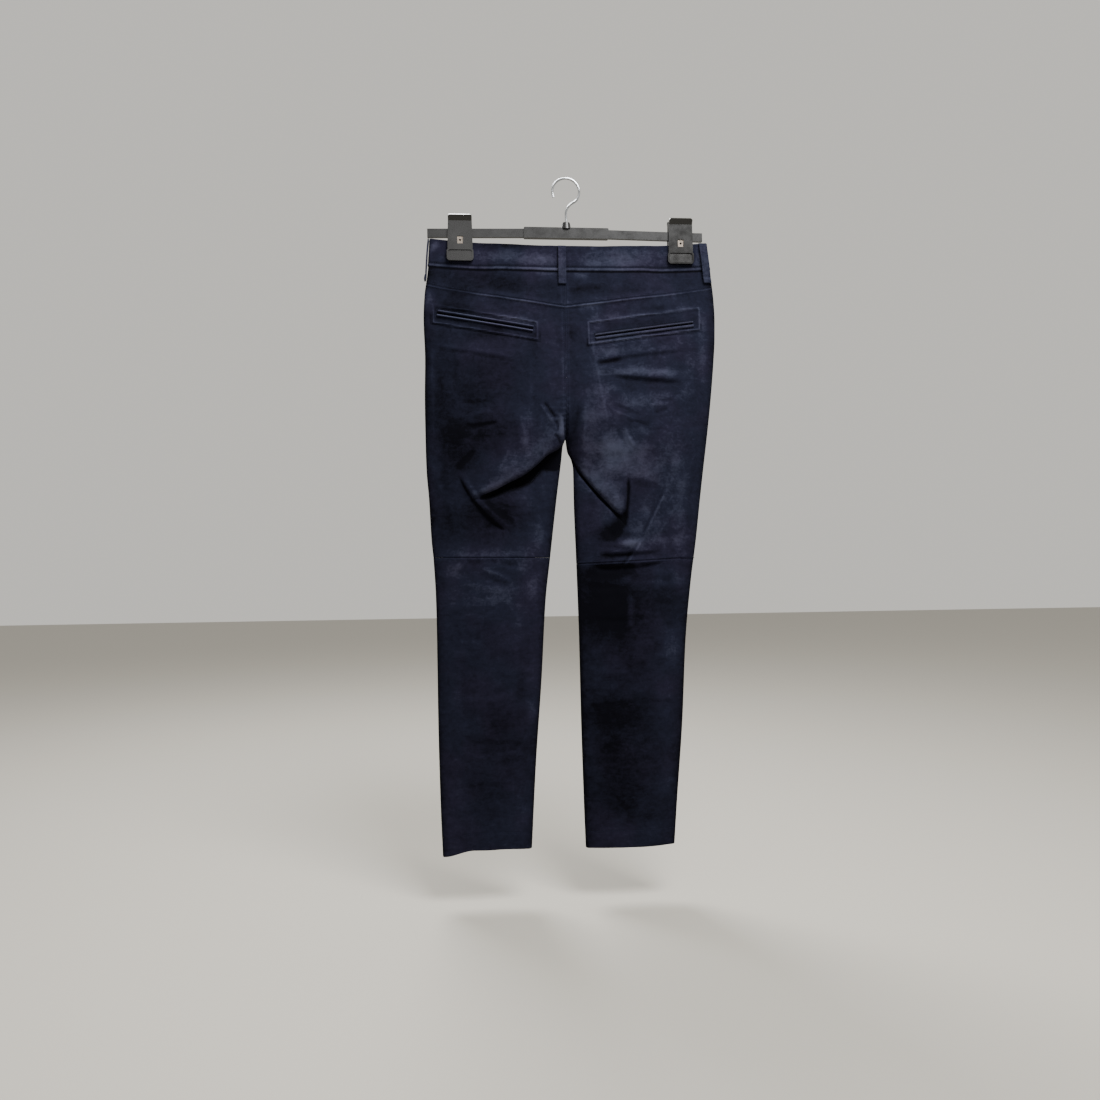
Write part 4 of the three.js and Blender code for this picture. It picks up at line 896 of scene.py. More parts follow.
def thickened(name, grid, normal, thickness, rim, tone, extra=0):
    """A wall under a grid of outer points whose edges are rounded: it lies about a middle surface half a
    thickness down, and thins to the edges as a quarter circle. extra is added on its inner side."""
    half = thickness / 2
    part = np.maximum(arc(edge_distance(grid) / rim), THINNEST) * half
    middle = grid - normal * half
    inner = middle - normal * (part + extra)[..., None]
    return wall_mesh(name, middle + normal * part[..., None], inner, tone)


def panel(name, side, face, heights, step, width=PANEL_WIDTH["upper"], extra=None):
    """A cut piece of suede: heights is a function of the shares that gives a grid of heights, and extra one
    of heights and shares that gives the added inner thickness."""
    shares = spaced(width, step)
    z = heights(shares)
    reach = 1 + lap_reach(side, face, z) / np.abs(outer_x(side, z) - inner_x(side, face, z))
    share = shares[None] * reach
    grid, folded, relief = draped(side, face, share, z)
    # The nap's patches with painted light and shade from folds and relief, less painted shade at the leg's
    # edges
    tone = nap_and_painted_light(face, grid[..., 0], z) + painted_fold_shading(folded, relief) - painted_edge_shade(side, face, share, z)
    # Painted shadow just under the waistband's lower edge
    tone -= bead(band_foot(grid[..., 0]) - z, BAND_SHADOW_TONE, BAND_SHADOW_REACH)
    added = extra(z, share) if extra else 0
    return thickened(name, grid, normals_of(grid, FACE[face]), LEATHER, PANEL_RIM, tone, added)


def between(upper, lower, step, start=True, end=True):
    """Rows of heights from an upper to a lower line, closer at the ends asked for."""
    t = spaced(float(np.mean(upper - lower)), step, start, end)
    return upper + (lower - upper) * t[:, None]


def band_foot_line(side, face, share):
    """The waistband's lower edge by share."""
    outer, inner = outer_x(side, BAND_FOOT["side"]), inner_x(side, face, BAND_FOOT["side"])
    return band_foot(mix(outer, inner, share))


def band_top_line(side, face, share):
    """The waistband's upper edge by share."""
    outer, inner = outer_x(side, BAND_TOP["side"]), inner_x(side, face, BAND_TOP["side"])
    return band_top(mix(outer, inner, share))


def yoke_heights(side):
    """Rows of the yoke, from the waistband down to the yoke seam."""
    half = SEAM_GAP / 2
    return lambda share: between(band_foot_line(side, BACK, share) - half, yoke_line(share) + half, YOKE_STEP)


def upper_heights(side, face, step):
    """Rows of an upper leg: down to the fold, along the fold's section, then down to the knee seam."""
    half = SEAM_GAP / 2
    rows = CROTCH_FOLD[side, face]

    def heights(share):
        top = yoke_line(share) - half if face == BACK else band_foot_line(side, face, share) - half
        lip, hollow = along(rows, "share", "z", share), along(rows, "share", "hollow", share)
        section = [lip + row["above"] + row["hollow_share"] * hollow for row in FOLD_SECTION[1:]]
        parts = [between(top, section[0], step, True, False)]
        for upper, lower in zip(section, section[1:]):
            reach = float(np.max(upper - lower))
            count = max(3, int(reach / step))
            t = np.linspace(0, 1, count + 1)[1:, None]
            parts.append(upper + (lower - upper) * t)
        parts.append(between(section[-1], knee_line(side, share) + half, step, False, True)[1:])
        return np.concatenate(parts)

    return heights


def lower_heights(side, step):
    """Rows of a lower leg, from the knee seam to the hem."""
    return lambda share: between(knee_line(side, share) - SEAM_GAP / 2, hem_line(side, share), step)


def hem_extra(side):
    """Added inner thickness of the turned-up hem."""
    def extra(z, share):
        edge = hem_line(side, share) + HEM_DEPTH
        return (HEM_WALL - LEATHER) * smooth(edge + 1.5, edge, z)

    return extra


def mesh_of_cut(row):
    """Builds one cut piece under its table row's name."""
    side, face, name = row["side"], row["face"], row["name"]
    step = BACK_STEP if face == BACK else FRONT_STEP
    if name.startswith("yoke"):
        return panel("suede_" + name, side, face, yoke_heights(side), YOKE_STEP)
    if "upper" in name:
        return panel("suede_" + name, side, face, upper_heights(side, face, step), step)
    lower = lower_heights(side, step)
    return panel("suede_" + name, side, face, lower, step, PANEL_WIDTH["lower"], hem_extra(side))


def band_grid(side):
    """Outer points of a waistband half: round from the centre back over the side fold to the front's
    centre, and on over the lap on the left, each column from the lower edge to the upper one."""
    shares = spaced(WAIST_HALF, 1.9)
    lap = BAND_LAP / WAIST_HALF if side == LEFT else 0
    front_shares = np.concatenate([shares[1:-9], np.linspace(shares[-9], 1 + lap, 22 if lap else 9)])
    heights = spaced(BAND_HEIGHT, 1.6)[:, None]

    def part(face, share):
        foot, top = band_foot_line(side, face, share), band_top_line(side, face, share)
        z = mix(foot + SEAM_GAP / 2, top, heights)
        points = surface(side, face, np.broadcast_to(share, z.shape), z)
        if lap and face == FRONT:
            over = smooth(*BAND_LAP_EASE, points[..., 0] - front_centre(z))
            points[..., 1] += over * (BAND_WALL - LEATHER)
        return points

    back, front = part(BACK, shares[::-1]), part(FRONT, front_shares)
    back[:, -1, 1] = 0
    grid = np.concatenate([back, front], axis=1)
    down = np.gradient(grid, axis=0)
    across = np.gradient(grid, axis=1)
    normal = np.cross(across, down)
    normal[..., 2] = 0
    normal /= np.maximum(np.linalg.norm(normal, axis=-1, keepdims=True), 1e-9)
    if normal[:, :back.shape[1] // 2, 1].mean() > 0:
        normal = -normal
    above_foot = grid[..., 2] - grid[:1, :, 2]
    relief = sum(bead(above_foot - row["above"], row["height"], row["width"]) for row in BAND_BEADS)
    proud = BAND_PROUD + relief * (1 - pinch(grid[..., 0], grid[..., 2]))
    return grid + normal * proud[..., None], normal, relief


def band_mesh(side):
    """A waistband half with rounded edges, the folded leather thicker than a panel."""
    grid, normal, relief = band_grid(side)
    # Painted highlight on the waistband's bead and painted shade in its stitched groove
    tone = nap_and_painted_light(BACK, grid[..., 0], grid[..., 2]) + BAND_RELIEF_SHADING * relief
    return thickened(f"suede_waistband_{side}", grid, normal, BAND_WALL, BAND_RIM, tone)


def surface_at(face, x, z, detail=True):
    """Surface points over given x and z instead of shares."""
    x, z = np.broadcast_arrays(np.asarray(x, float), np.asarray(z, float))
    centre = np.full(z.shape, float(CENTRE_X)) if face == BACK else front_centre(z)
    points = np.empty(x.shape + (3,))
    for side, there in ((LEFT, x < centre), (RIGHT, x >= centre)):
        share = np.clip((x - outer_x(side, z)) / (inner_x(side, face, z) - outer_x(side, z)), 0, 1)
        points[there] = surface(side, face, share, z, detail)[there]
    return points


def loop_mesh(name, base, normal, across, top, foot, bulge=LOOP["bulge"]):
    """A belt loop: a strip seated at both ends that stands off between them by a power of a sine, its tail
    turned under and thicker, with two rows of stitches sunk near its edges."""
    t = spaced(top - foot, 1.6)[:, None]
    k = spaced(LOOP["width"], 1.0)[None] - 0.5
    z = top - (top - foot) * t
    turned = LOOP["turned"]
    stand = LOOP["seat"] + bulge * np.sin(np.pi * np.minimum(t / turned, 1)) ** 0.6
    thick = LOOP["thick"] + LOOP["turned_thick"] * smooth(turned - 0.02, turned + 0.02, t)
    dent = bead(np.abs(k) * LOOP["width"] - LOOP["width"] / 2 + LOOP["row_inset"], LOOP["row_dent"], 0.5)
    dent = dent + bead((t - turned) * (top - foot), LOOP["bar_dent"], 1.3)
    points = base(z[:, 0])[:, None, :] + np.asarray(across, float) * (k * LOOP["width"])[..., None]
    out = np.asarray(normal, float)
    outer = points + out * (stand + thick - dent)[..., None]
    part = np.maximum(arc(edge_distance(outer) / 1.2), 0.15) * thick / 2
    middle = points + out * (stand + thick / 2)[..., None]
    tone = np.full(outer.shape[:2], LOOP["tone"])
    return wall_mesh(name, middle + out * (part - dent)[..., None], middle - out * part[..., None], tone)


def face_loop(name, face, x_at):
    """A belt loop on the back or front face at the x its function gives for a height."""
    top = band_top(x_at(BAND_TOP["side"])) - 0.5
    foot = band_foot(x_at(BAND_FOOT["side"])) - LOOP["tail"]

    def base(z):
        x = x_at(z) + np.zeros(np.shape(z))
        reach = []
        for dx in (-LOOP["width"] / 2, 0, LOOP["width"] / 2):
            inside = np.clip(x + dx, outer_x(LEFT, z), outer_x(RIGHT, z))
            reach.append(surface_at(face, inside, z, False)[..., 1] * FACE[face])
        return np.stack([x, FACE[face] * np.max(reach, axis=0), z], axis=-1)

    return loop_mesh(name, base, (0, FACE[face], 0), (1, 0, 0), top, foot)


def side_loop(name):
    """The belt loop that straddles the left side seam."""
    def base(z):
        return np.stack([outer_x(LEFT, z), np.zeros(np.shape(z)), z], axis=-1)

    top, foot = BAND_TOP["side"] - 1, BAND_FOOT["side"] - LOOP["tail"]
    return loop_mesh(name, base, (-1, 0, 0), (0, 1, 0), top, foot, LOOP["side_bulge"])


def welt_mesh(side, place, name):
    """One lip of a pocket: a strip along the slit whose section is a rounded bead, half an ellipse."""
    length = pocket_line(side)[-1]
    t = spaced(length, 2.0)[None]
    v = np.linspace(0, 1, 11)[:, None]
    x, z = pocket_point(side, t * length, (WELT["slit"] / 2 + WELT["height"] * v) * place * SIGN[side])
    grid = surface_at(BACK, x, z, False)
    normal = normals_of(grid, FACE[BACK])
    section = np.sqrt(np.maximum(1 - (2 * v - 1) ** 2, 0))
    ends = arc(np.minimum(t, 1 - t) * length / WELT["end"])
    bulge = (WELT["thick"] + WELT["bead"]) * np.maximum(section * ends, WELT["rim"])
    rise = WELT_GAP + WELT["seat"] + bulge
    # Painted highlight and shade across the lip, mixed from beside the slit to its outer edge
    near, far = WELT_LIGHT_AND_SHADE[side, place]
    tone = mix(near, far, smooth(0.3, 0.6, v)) * np.ones_like(t)
    return wall_mesh(name, grid + normal * rise[..., None], grid + normal * WELT_GAP / 3, tone)


def stitch_template():
    """One stitch along x: five rings of six points on an ellipsoid-like thread, closed by its end rings."""
    t = np.linspace(-1, 1, 5)
    ring = np.arange(6) * np.pi / 3
    radius = STITCH["radius"] * np.sqrt(np.maximum(1 - (0.96 * t) ** 2, 0.03))
    x = np.repeat(t * STITCH["length"] / 2, 6)
    y = (radius[:, None] * np.cos(ring)).ravel()
    z = (radius[:, None] * np.sin(ring)).ravel() - 0.05
    points = np.stack([x, y, z], axis=-1)
    index = np.arange(30).reshape(5, 6)
    right = np.roll(index, -1, axis=1)
    tube = np.stack([index[:-1], right[:-1], right[1:], index[1:]], axis=-1).reshape(-1, 4)
    caps = np.array([[0, 3, 2, 1], [0, 5, 4, 3], [24, 25, 26, 27], [24, 27, 28, 29]])
    return points, np.concatenate([tube, caps])


def interpolated(at, run, rows):
    """Rows of three numbers given along run, in straight lines between them, at other places."""
    return np.stack([np.interp(at, run, rows[:, i]) for i in range(3)], axis=-1)


def stitches(name, lines):
    """One object of all the stitches along some lines. Each line is (points, normals): a stitch sits every
    pitch along it, its length along the line and its flat side on the surface."""
    template, faces = stitch_template()
    centres, tangents, ups = [], [], []
    for points, normals in lines:
        run = np.concatenate([[0], np.cumsum(np.linalg.norm(np.diff(points, axis=0), axis=-1))])
        at = np.arange(STITCH["pitch"] / 2, run[-1], STITCH["pitch"])
        centres.append(interpolated(at, run, points))
        tangents.append(interpolated(at + 0.5, run, points) - interpolated(at - 0.5, run, points))
        ups.append(interpolated(at, run, normals))
    centre, tangent, up = (np.concatenate(part) for part in (centres, tangents, ups))
    tangent /= np.linalg.norm(tangent, axis=-1, keepdims=True)
    side = np.cross(up, tangent)
    side /= np.linalg.norm(side, axis=-1, keepdims=True)
    up = np.cross(tangent, side)
    axes = np.stack([tangent, side, up], axis=1)
    points = (centre[:, None, :] + np.einsum("pk,nkj->npj", template, axes)).reshape(-1, 3) * MM
    quads = (faces[None] + (np.arange(len(centre)) * len(template))[:, None, None]).reshape(-1, 4)
    return mesh_object(name, points, outward_faces(points, quads), sharp=80)


def line_on(face, x, z, lift=0.1):
    """A seam line over x and z on a face's surface, with its normals from small steps either way."""
    points = surface_at(face, x, z)
    right, left = surface_at(face, x + 0.5, z), surface_at(face, x - 0.5, z)
    above, below = surface_at(face, x, z + 0.5), surface_at(face, x, z - 0.5)
    normal = np.cross(right - left, above - below)
    normal /= np.linalg.norm(normal, axis=-1, keepdims=True)
    normal *= np.sign(normal[:, 1:2]) * FACE[face]
    return points + normal * lift, normal


def by_share(side, face, height, offset, low=0.03, high=0.985, count=160):
    """A line that runs across a panel at a height function's value plus an offset."""
    share = np.linspace(low, high, count)
    z = height(share) + offset
    return line_on(face, mix(outer_x(side, z), inner_x(side, face, z), share), z)


def leg_stitch_lines(side, face):
    """Rows either side of the knee seam and along the hem."""
    knee, hem = partial(knee_line, side), partial(hem_line, side)
    rows = ((knee, -ROWS["knee"]), (knee, ROWS["knee"]), (hem, HEM_DEPTH))
    return [by_share(side, face, height, offset) for height, offset in rows]


def pocket_stitch_lines(side):
    """Stitches round a pocket's welts: two long rows and two short ones."""
    length = pocket_line(side)[-1]
    reach = WELT["slit"] / 2 + WELT["height"] + ROWS["welt"]
    ends = (-ROWS["welt_end"], length + ROWS["welt_end"])
    run, across = np.linspace(*ends, 120), np.linspace(-reach, reach, 20)
    rows = [line_on(BACK, *pocket_point(side, run, place)) for place in (-reach, reach)]
    return rows + [line_on(BACK, *pocket_point(side, end, across)) for end in ends]


def back_stitch_lines():
    """Lines of topstitching on the back: yoke, knees, hems, centre seam and pockets."""
    lines = []
    for side in (LEFT, RIGHT):
        lines.append(by_share(side, BACK, yoke_line, ROWS["yoke"]))
        lines.extend(leg_stitch_lines(side, BACK))
        z = np.linspace(YOKE_SEAM["centre"] - 2, CROTCH_Z + 12, 160)
        lines.append(line_on(BACK, np.full(z.shape, CENTRE_X + ROWS["centre"] * SIGN[side]), z))
        lines.extend(pocket_stitch_lines(side))
    return lines


def front_stitch_lines():
    """Lines of topstitching on the front: knees, hems, and the fly's line, which ends in a quarter circle."""
    lines = leg_stitch_lines(LEFT, FRONT) + leg_stitch_lines(RIGHT, FRONT)
    turn = np.linspace(0, np.pi / 2, 40)[1:-3]
    straight_z = np.linspace(BAND_FOOT["centre"] - 3, FLY_END_Z + FLY_ROW, 60)
    hook_x = front_centre(FLY_END_Z) - FLY_ROW * np.cos(turn)
    hook_z = FLY_END_Z + FLY_ROW * (1 - np.sin(turn))
    x = np.concatenate([front_centre(straight_z) - FLY_ROW, hook_x])
    lines.append(line_on(FRONT, x, np.concatenate([straight_z, hook_z])))
    return lines


def band_stitch_lines(side):
    """The row of stitches above the waistband's lower edge."""
    grid, normal, _ = band_grid(side)
    above = grid[:, :, 2] - grid[:1, :, 2]
    row = int(np.argmin(np.abs(above.mean(axis=1) - ROWS["waistband"])))
    keep = slice(3, grid.shape[1] - 3)
    return [(grid[row, keep] + normal[row, keep] * 0.1, normal[row, keep])]


def to_linear(hex_colour):
    """sRGB hex to linear RGBA."""
    parts = [int(hex_colour[i:i + 2], 16) / 255 for i in (1, 3, 5)]
    return [p / 12.92 if p <= 0.04045 else ((p + 0.055) / 1.055) ** 2.4 for p in parts] + [1.0]


def fill(tree, made, inputs):
    """Sets a node's inputs by name or number, and links those whose value is another node's socket."""
    for key, value in inputs.items():
        if isinstance(value, bpy.types.NodeSocket):
            tree.links.new(value, made.inputs[key])
        else:
            made.inputs[key].default_value = value


def node(tree, kind, inputs=None, stops=(), **settings):
    """Adds a shader node: sets its properties, sets or links its inputs by name or number, and places the
    stops of a colour ramp, each a place with an sRGB hex or a grey."""
    made = tree.nodes.new(kind)
    for name, value in settings.items():
        setattr(made, name, value)
    fill(tree, made, inputs or {})
    for i, (place, value) in enumerate(stops):
        elements = made.color_ramp.elements
        element = elements[i] if i < 2 else elements.new(place)
        element.position = place
        element.color = to_linear(value) if isinstance(value, str) else (value, value, value, 1)
    return made


def new_material(name):
    """A material that is a principled shader alone, its tree and that shader."""
    made = bpy.data.materials.new(name)
    made.use_nodes = True
    tree = made.node_tree
    tree.nodes.clear()
    shader = node(tree, "ShaderNodeBsdfPrincipled")
    node(tree, "ShaderNodeOutputMaterial", {"Surface": shader.outputs["BSDF"]})
    return made, tree, shader


def suede_material(looks):
    """Brushed goat suede, dyed navy: very rough, with a short nap that scatters at grazing angles. Its tone
    is the middle tone plus the nap attribute, which holds the nap's patches and painted light and shade,
    times the contrast, plus each noise less a half times its share."""
    made, tree, shader = new_material("brushed_suede")
    place = node(tree, "ShaderNodeTexCoord").outputs["Object"]
    # The nap attribute carries the brushed patches and the painted light and shade
    nap = node(tree, "ShaderNodeAttribute", attribute_name="nap").outputs["Fac"]
    stretch = {"Vector": place, "Scale": (1, 1, STREAK_STRETCH)}
    streak_place = node(tree, "ShaderNodeMapping", stretch).outputs["Vector"]
    brushed = {0: nap, 1: looks.nap_contrast, 2: MIDDLE_TONE}
    tone = node(tree, "ShaderNodeMath", brushed, operation="MULTIPLY_ADD").outputs[0]
    noises = {}
    for row in SUEDE_NOISES:
        noise = node(tree, "ShaderNodeTexNoise", {
            "Vector": streak_place if row["name"] == "streaks" else place, "Scale": row["scale"],
            "Detail": row["detail"], "Roughness": row["roughness"], "Distortion": row["distortion"],
        }).outputs["Fac"]
        less = node(tree, "ShaderNodeMath", {0: noise, 1: 0.5}, operation="SUBTRACT").outputs[0]
        added = {0: less, 1: row["share"], 2: tone}
        tone = node(tree, "ShaderNodeMath", added, operation="MULTIPLY_ADD").outputs[0]
        noises[row["name"]] = noise
    hue = node(tree, "ShaderNodeTexNoise", {"Vector": place, "Scale": 13, "Detail": 3, "Roughness": 0.5})
    share = node(tree, "ShaderNodeValToRGB", {"Fac": hue.outputs["Fac"]}, ((0.42, 0), (0.6, 1)))
    mixed = {"Factor": share.outputs["Color"]}
    for socket, middle, light in (
        (6, looks.middle, looks.light), (7, looks.middle_violet, looks.light_violet),
    ):
        stops = ((0, looks.dark), (0.5, middle), (1, light))
        mixed[socket] = node(tree, "ShaderNodeValToRGB", {"Fac": tone}, stops).outputs["Color"]
    colour = node(tree, "ShaderNodeMix", mixed, data_type="RGBA")
    rough = node(tree, "ShaderNodeMath", {0: tone, 1: -0.12, 2: 1}, operation="MULTIPLY_ADD").outputs[0]
    fine = node(tree, "ShaderNodeMath", {0: noises["fibre"], 1: 0.3}, operation="MULTIPLY").outputs[0]
    summed = {0: noises["clouds"], 1: 0.3, 2: fine}
    grain = node(tree, "ShaderNodeMath", summed, operation="MULTIPLY_ADD").outputs[0]
    bump = node(tree, "ShaderNodeBump", {"Height": grain, "Strength": 0.5, "Distance": 1.2 * MM})
    fill(tree, shader, {
        "Base Color": colour.outputs[2], "Roughness": rough, "Normal": bump.outputs["Normal"],
    })
    shader.inputs["Sheen Weight"].default_value = looks.sheen
    shader.inputs["Sheen Roughness"].default_value = 0.42
    shader.inputs["Sheen Tint"].default_value = to_linear("#8e94b8")
    shader.inputs["Specular IOR Level"].default_value = 0.06
    return made


def thread_material():
    """Spun polyester sewing thread, a little lighter than the suede: ply drawn as bands 0.5 mm apart."""
    made, tree, shader = new_material("spun_polyester_thread")
    place = node(tree, "ShaderNodeTexCoord").outputs["Object"]
    ply = node(tree, "ShaderNodeTexNoise", {"Vector": place, "Scale": 1800, "Detail": 2}).outputs["Fac"]
    colour = node(tree, "ShaderNodeValToRGB", {"Fac": ply}, ((0.3, "#0e1120"), (0.7, "#1b2036")))
    bump = node(tree, "ShaderNodeBump", {"Height": ply, "Strength": 0.4, "Distance": 0.4 * MM})
    fill(tree, shader, {
        "Base Color": colour.outputs["Color"], "Normal": bump.outputs["Normal"], "Roughness": 0.8,
    })
    shader.inputs["Specular IOR Level"].default_value = 0.15
    return made


def moulded_material(name, dark, light, roughness, grain_mm, depth_mm):
    """Moulded plastic: near black, satin, with spark-eroded grain and marks of handling in its gloss."""
    made, tree, shader = new_material(name)
    place = node(tree, "ShaderNodeTexCoord").outputs["Object"]
    grain = node(tree, "ShaderNodeTexNoise", {"Vector": place, "Scale": 1 / (grain_mm * MM), "Detail": 2})
    marks = node(tree, "ShaderNodeTexNoise", {"Vector": place, "Scale": 55, "Detail": 6, "Roughness": 0.65})
    fac = {"Fac": marks.outputs["Fac"]}
    colour = node(tree, "ShaderNodeValToRGB", fac, ((0.35, dark), (0.7, light)))
    gloss = node(tree, "ShaderNodeValToRGB", fac, ((0.3, roughness - 0.08), (0.75, roughness + 0.12)))
    relief = {"Height": grain.outputs["Fac"], "Strength": 0.35, "Distance": depth_mm * MM}
    bump = node(tree, "ShaderNodeBump", relief)
    fill(tree, shader, {
        "Base Color": colour.outputs["Color"], "Roughness": gloss.outputs["Color"],
        "Normal": bump.outputs["Normal"],
    })
    return made


def metal_material(name, dark, light, roughness, stretch):
    """Drawn or rolled steel, bright plated: metallic, with fine drawing lines stretched along z."""
    made, tree, shader = new_material(name)
    place = node(tree, "ShaderNodeTexCoord").outputs["Object"]
    drawn = node(tree, "ShaderNodeMapping", {"Vector": place, "Scale": (1, 1, stretch)}).outputs["Vector"]
    lines = node(tree, "ShaderNodeTexNoise", {"Vector": drawn, "Scale": 900, "Detail": 3})
    fac = {"Fac": lines.outputs["Fac"]}
    colour = node(tree, "ShaderNodeValToRGB", fac, ((0.3, dark), (0.7, light)))
    gloss = node(tree, "ShaderNodeValToRGB", fac, ((0.3, roughness - 0.05), (0.7, roughness + 0.1)))
    fill(tree, shader, {
        "Base Color": colour.outputs["Color"], "Roughness": gloss.outputs["Color"], "Metallic": 1,
    })
    return made


def give(made, material):
    """Gives an object one material in every slot."""
    made.data.materials.clear()
    made.data.materials.append(material)
    return made


def settle(made, slot, material, *nodes):
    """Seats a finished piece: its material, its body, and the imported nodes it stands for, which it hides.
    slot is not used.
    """
    give(made, material)
    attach(made, "root")
    if nodes:
        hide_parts(*nodes)
    return made


def suede_of(context):
    """The suede, made once from the scene's settings."""
    return bpy.data.materials.get("brushed_suede") or suede_material(context.scene.trousers_looks)


class TrousersLooks(bpy.types.PropertyGroup):
    """Colours and finish of the suede."""

    # The dark and light stops also colour the painted shade and highlights that the nap attribute carries,
    # and the brush contrast scales them as well
    dark: bpy.props.StringProperty(
        name="Dark nap", description="Nap brushed away from the eye, sRGB hex",
        default="#06060c",
    )
    light: bpy.props.StringProperty(
        name="Light nap", description="Nap brushed towards the eye, sRGB hex",
        default="#393c4d",
    )
    middle: bpy.props.StringProperty(
        name="Middle nap", description="Unbrushed nap, sRGB hex",
        default="#181a28",
    )
    middle_violet: bpy.props.StringProperty(
        name="Middle violet nap", description="Warmer unbrushed nap, sRGB hex",
        default="#1b1a29",
    )
    light_violet: bpy.props.StringProperty(
        name="Light violet nap", description="Warmer light nap, sRGB hex",
        default="#3b3b4d",
    )
    nap_contrast: bpy.props.FloatProperty(
        name="Brush contrast", description="Strength of the brushed patches",
        default=0.55, min=0, max=1,
    )
    sheen: bpy.props.FloatProperty(
        name="Sheen", description="Scatter of the nap at grazing angles",
        default=0.03, min=0, max=1,
    )


class TrousersStage(bpy.types.PropertyGroup):
    """Camera and light."""

    distance: bpy.props.FloatProperty(
        name="Camera distance", description="From the camera to the picture's middle",
        default=1.4, unit="LENGTH",
    )
    yaw: bpy.props.FloatProperty(
        name="Camera yaw", description="Turn towards the wearer's left",
        default=math.radians(4.6), subtype="ANGLE",
    )
    roll: bpy.props.FloatProperty(
        name="Camera roll", description="Tilt of the picture",
        default=math.radians(-0.63), subtype="ANGLE",
    )
    lens: bpy.props.FloatProperty(
        name="Lens", description="Focal length on a 36 mm sensor",
        default=29.56, unit="CAMERA",
    )
    floor: bpy.props.StringProperty(
        name="Floor", description="Colour of the floor, sRGB hex",
        default="#b3afa6",
    )
    floor_z: bpy.props.FloatProperty(
        name="Floor height", description="Height of the floor below the hook",
        default=-1.12, unit="LENGTH",
    )
    key: bpy.props.FloatProperty(
        name="Key light", description="Power of the soft light above the camera",
        default=70.0, subtype="POWER",
    )
    fill: bpy.props.FloatProperty(
        name="Fill light", description="Power of the small light mirrored in the left clip",
        default=0.6, subtype="POWER",
    )
    sky: bpy.props.FloatProperty(
        name="Sky", description="Strength of the pale surroundings",
        default=0.8, min=0,
    )


class TROUSERS_OT_panels(bpy.types.Operator):
    """Cuts the yokes and the upper and lower legs and drapes them on their formulas"""

    bl_idname = "trousers.panels"
    bl_label = "Suede panels"

    def execute(self, context):
        for row in CUTS:
            made = settle(mesh_of_cut(row), "suede", suede_of(context), row["name"])
        return {"FINISHED"}


class TROUSERS_OT_waistband(bpy.types.Operator):
    """Folds the two halves of the waistband round to the front"""

    bl_idname = "trousers.waistband"
    bl_label = "Waistband"

    def execute(self, context):
        for side in (LEFT, RIGHT):
            made = settle(band_mesh(side), "suede", suede_of(context), f"waistband_{side}")
        return {"FINISHED"}


class TROUSERS_OT_loops(bpy.types.Operator):
    """Sets the belt loops on the waistband"""

    bl_idname = "trousers.loops"
    bl_label = "Belt loops"

    def execute(self, context):
        places = {
            "loop_centre_back": (BACK, lambda z: CENTRE_X - LOOP["centre_inset"]),
            "loop_right": (BACK, lambda z: outer_x(RIGHT, z) - LOOP["right_inset"]),
            "loop_left": None,
            "loop_front_left": (FRONT, lambda z: FRONT_CENTRE_TOP_X - LOOP["front"]),
            "loop_front_right": (FRONT, lambda z: FRONT_CENTRE_TOP_X + LOOP["front"]),
        }
        for cad, place in places.items():
            name = "suede_" + cad
            made = face_loop(name, *place) if place else side_loop(name)
            settle(made, "suede", suede_of(context), cad)
        return {"FINISHED"}


class TROUSERS_OT_welts(bpy.types.Operator):
    """Lays the upper and lower lips of the two back pockets"""

    bl_idname = "trousers.welts"
    bl_label = "Pocket welts"

    def execute(self, context):
        for side in (LEFT, RIGHT):
            for word, place in (("upper", 1), ("lower", -1)):
                cad = f"welt_{side}_{word}"
                settle(welt_mesh(side, place, "suede_" + cad), "suede", suede_of(context), cad)
        return {"FINISHED"}


class TROUSERS_OT_stitches(bpy.types.Operator):
    """Sews the rows of topstitching"""

    bl_idname = "trousers.stitches"
    bl_label = "Topstitching"

    def execute(self, context):
        groups = {
            "stitches_back": back_stitch_lines(),
            "stitches_front": front_stitch_lines(),
            "stitches_waistband": band_stitch_lines(LEFT) + band_stitch_lines(RIGHT),
        }
        thread = bpy.data.materials.get("spun_polyester_thread") or thread_material()
        for name, lines in groups.items():
            settle(stitches(name, lines), "suede", thread)
        return {"FINISHED"}


class TROUSERS_OT_hanger(bpy.types.Operator):
    """Finishes the bar, clips, springs, hook and button"""

    bl_idname = "trousers.hanger"
    bl_label = "Hanger and button"

    def execute(self, context):
        bar = moulded_material("moulded_polypropylene", "#050506", "#0c0c0e", 0.36, 0.8, 0.05)
        jaw = moulded_material("glossy_polystyrene", "#030304", "#09090a", 0.27, 0.8, 0.05)
        horn = moulded_material("polished_resin_button", "#0a0b12", "#23242c", 0.22, 1.6, 0.03)
        wire = metal_material("bright_drawn_wire", "#9a9da1", "#c9ccd0", 0.2, 0.15)
        spring = metal_material("rolled_spring_steel", "#6f675f", "#9b9187", 0.32, 0.1)
        for name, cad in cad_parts.items():
            if name == "hanger_bar":
                give(cad, bar)
            elif "jaw" in name:
                give(cad, jaw)
            elif name.startswith("clip_"):
                give(cad, spring)
            elif name == "hanger_hook":
                give(cad, wire)
            elif name == "waist_button":
                give(cad, horn)
        return {"FINISHED"}


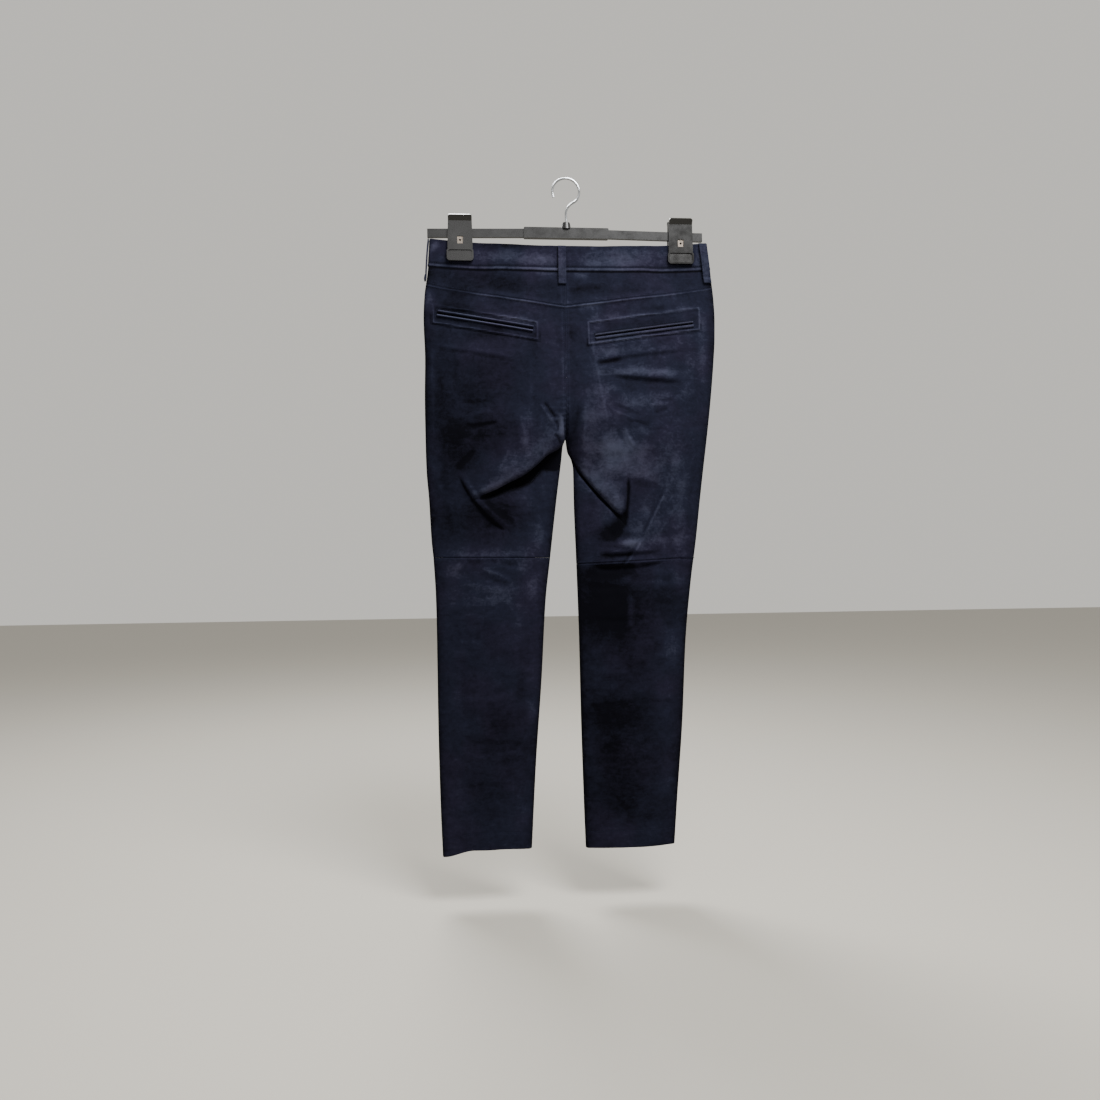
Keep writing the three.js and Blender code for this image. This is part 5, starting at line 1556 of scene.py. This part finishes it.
def picture_camera(stage):
    """A camera at the picture's distance, turned by its yaw and rolled."""
    yaw, roll = stage.yaw, stage.roll
    back = np.array([-math.sin(yaw), -math.cos(yaw), 0])
    right, up = np.array([math.cos(yaw), -math.sin(yaw), 0]), np.array([0, 0, 1.0])
    right, up = math.cos(roll) * right + math.sin(roll) * up, math.cos(roll) * up - math.sin(roll) * right
    data = bpy.data.cameras.new("picture_camera")
    data.lens, data.sensor_width = stage.lens, 36
    data.clip_start, data.clip_end = 0.05, 50
    camera = bpy.data.objects.new("picture_camera", data)
    spot = np.array(PICTURE_MIDDLE) + back * stage.distance
    rows = [[right[i], up[i], back[i], spot[i]] for i in range(3)] + [[0, 0, 0, 1]]
    camera.matrix_world = Matrix(rows)
    bpy.context.scene.collection.objects.link(camera)
    bpy.context.scene.camera = camera


def soft_light(name, power, size, spot, aim):
    """A square area light at a spot, facing an aim point, in metres."""
    data = bpy.data.lights.new(name, "AREA")
    data.energy, data.size = power, size
    light = bpy.data.objects.new(name, data)
    light.location = spot
    light.rotation_euler = (Vector(aim) - Vector(spot)).to_track_quat("-Z", "Y").to_euler()
    bpy.context.scene.collection.objects.link(light)


class TROUSERS_OT_stage(bpy.types.Operator):
    """Sets the floor, the soft light and the camera"""

    bl_idname = "trousers.stage"
    bl_label = "Stage"

    def execute(self, context):
        stage = context.scene.trousers_stage
        corners = FLOOR_HALF * np.array([(-1, -1), (1, -1), (1, 1), (-1, 1)])
        points = np.column_stack([corners, np.full(4, stage.floor_z)])
        floor = mesh_object("floor", points, np.array([[0, 1, 2, 3]]))
        made, tree, shader = new_material("painted_floor")
        fill(tree, shader, {"Base Color": to_linear(stage.floor), "Roughness": 0.8})
        give(floor, made)
        world = bpy.data.worlds.new("pale_surroundings")
        world.use_nodes = True
        background = world.node_tree.nodes["Background"]
        background.inputs["Color"].default_value = to_linear("#eeebe4")
        background.inputs["Strength"].default_value = stage.sky
        context.scene.world = world
        powers = (stage.key, stage.fill, stage.key * BACK_LIGHT_SHARE)
        for row, power in zip(LIGHTS, powers):
            soft_light(row["name"], power, row["size"], row["spot"], row["aim"])
        picture_camera(stage)
        return {"FINISHED"}


class TROUSERS_PT_panel(bpy.types.Panel):
    """Lists the pieces and settings in the 3D view's sidebar"""

    bl_idname = "TROUSERS_PT_panel"
    bl_label = "Suede trousers"
    bl_space_type = "VIEW_3D"
    bl_region_type = "UI"
    bl_category = "Trousers"

    def draw(self, context):
        layout = self.layout
        for group in (context.scene.trousers_looks, context.scene.trousers_stage):
            for name in group.__annotations__:
                layout.prop(group, name)
        for operator in OPERATORS:
            layout.operator(operator.bl_idname)


OPERATORS = (
    TROUSERS_OT_panels,
    TROUSERS_OT_waistband,
    TROUSERS_OT_loops,
    TROUSERS_OT_welts,
    TROUSERS_OT_stitches,
    TROUSERS_OT_hanger,
    TROUSERS_OT_stage,
)
CLASSES = (TrousersLooks, TrousersStage, *OPERATORS, TROUSERS_PT_panel)


def register():
    """Registers the classes and the scene's settings."""
    for item in CLASSES:
        bpy.utils.register_class(item)
    bpy.types.Scene.trousers_looks = bpy.props.PointerProperty(type=TrousersLooks)
    bpy.types.Scene.trousers_stage = bpy.props.PointerProperty(type=TrousersStage)


def unregister():
    """Takes the settings and classes away again."""
    del bpy.types.Scene.trousers_looks
    del bpy.types.Scene.trousers_stage
    for item in reversed(CLASSES):
        bpy.utils.unregister_class(item)


def main():
    """Builds every piece in order."""
    register()
    bpy.ops.trousers.panels()
    bpy.ops.trousers.waistband()
    bpy.ops.trousers.loops()
    bpy.ops.trousers.welts()
    bpy.ops.trousers.stitches()
    bpy.ops.trousers.hanger()
    bpy.ops.trousers.stage()


if __name__ == "__main__":
    main()
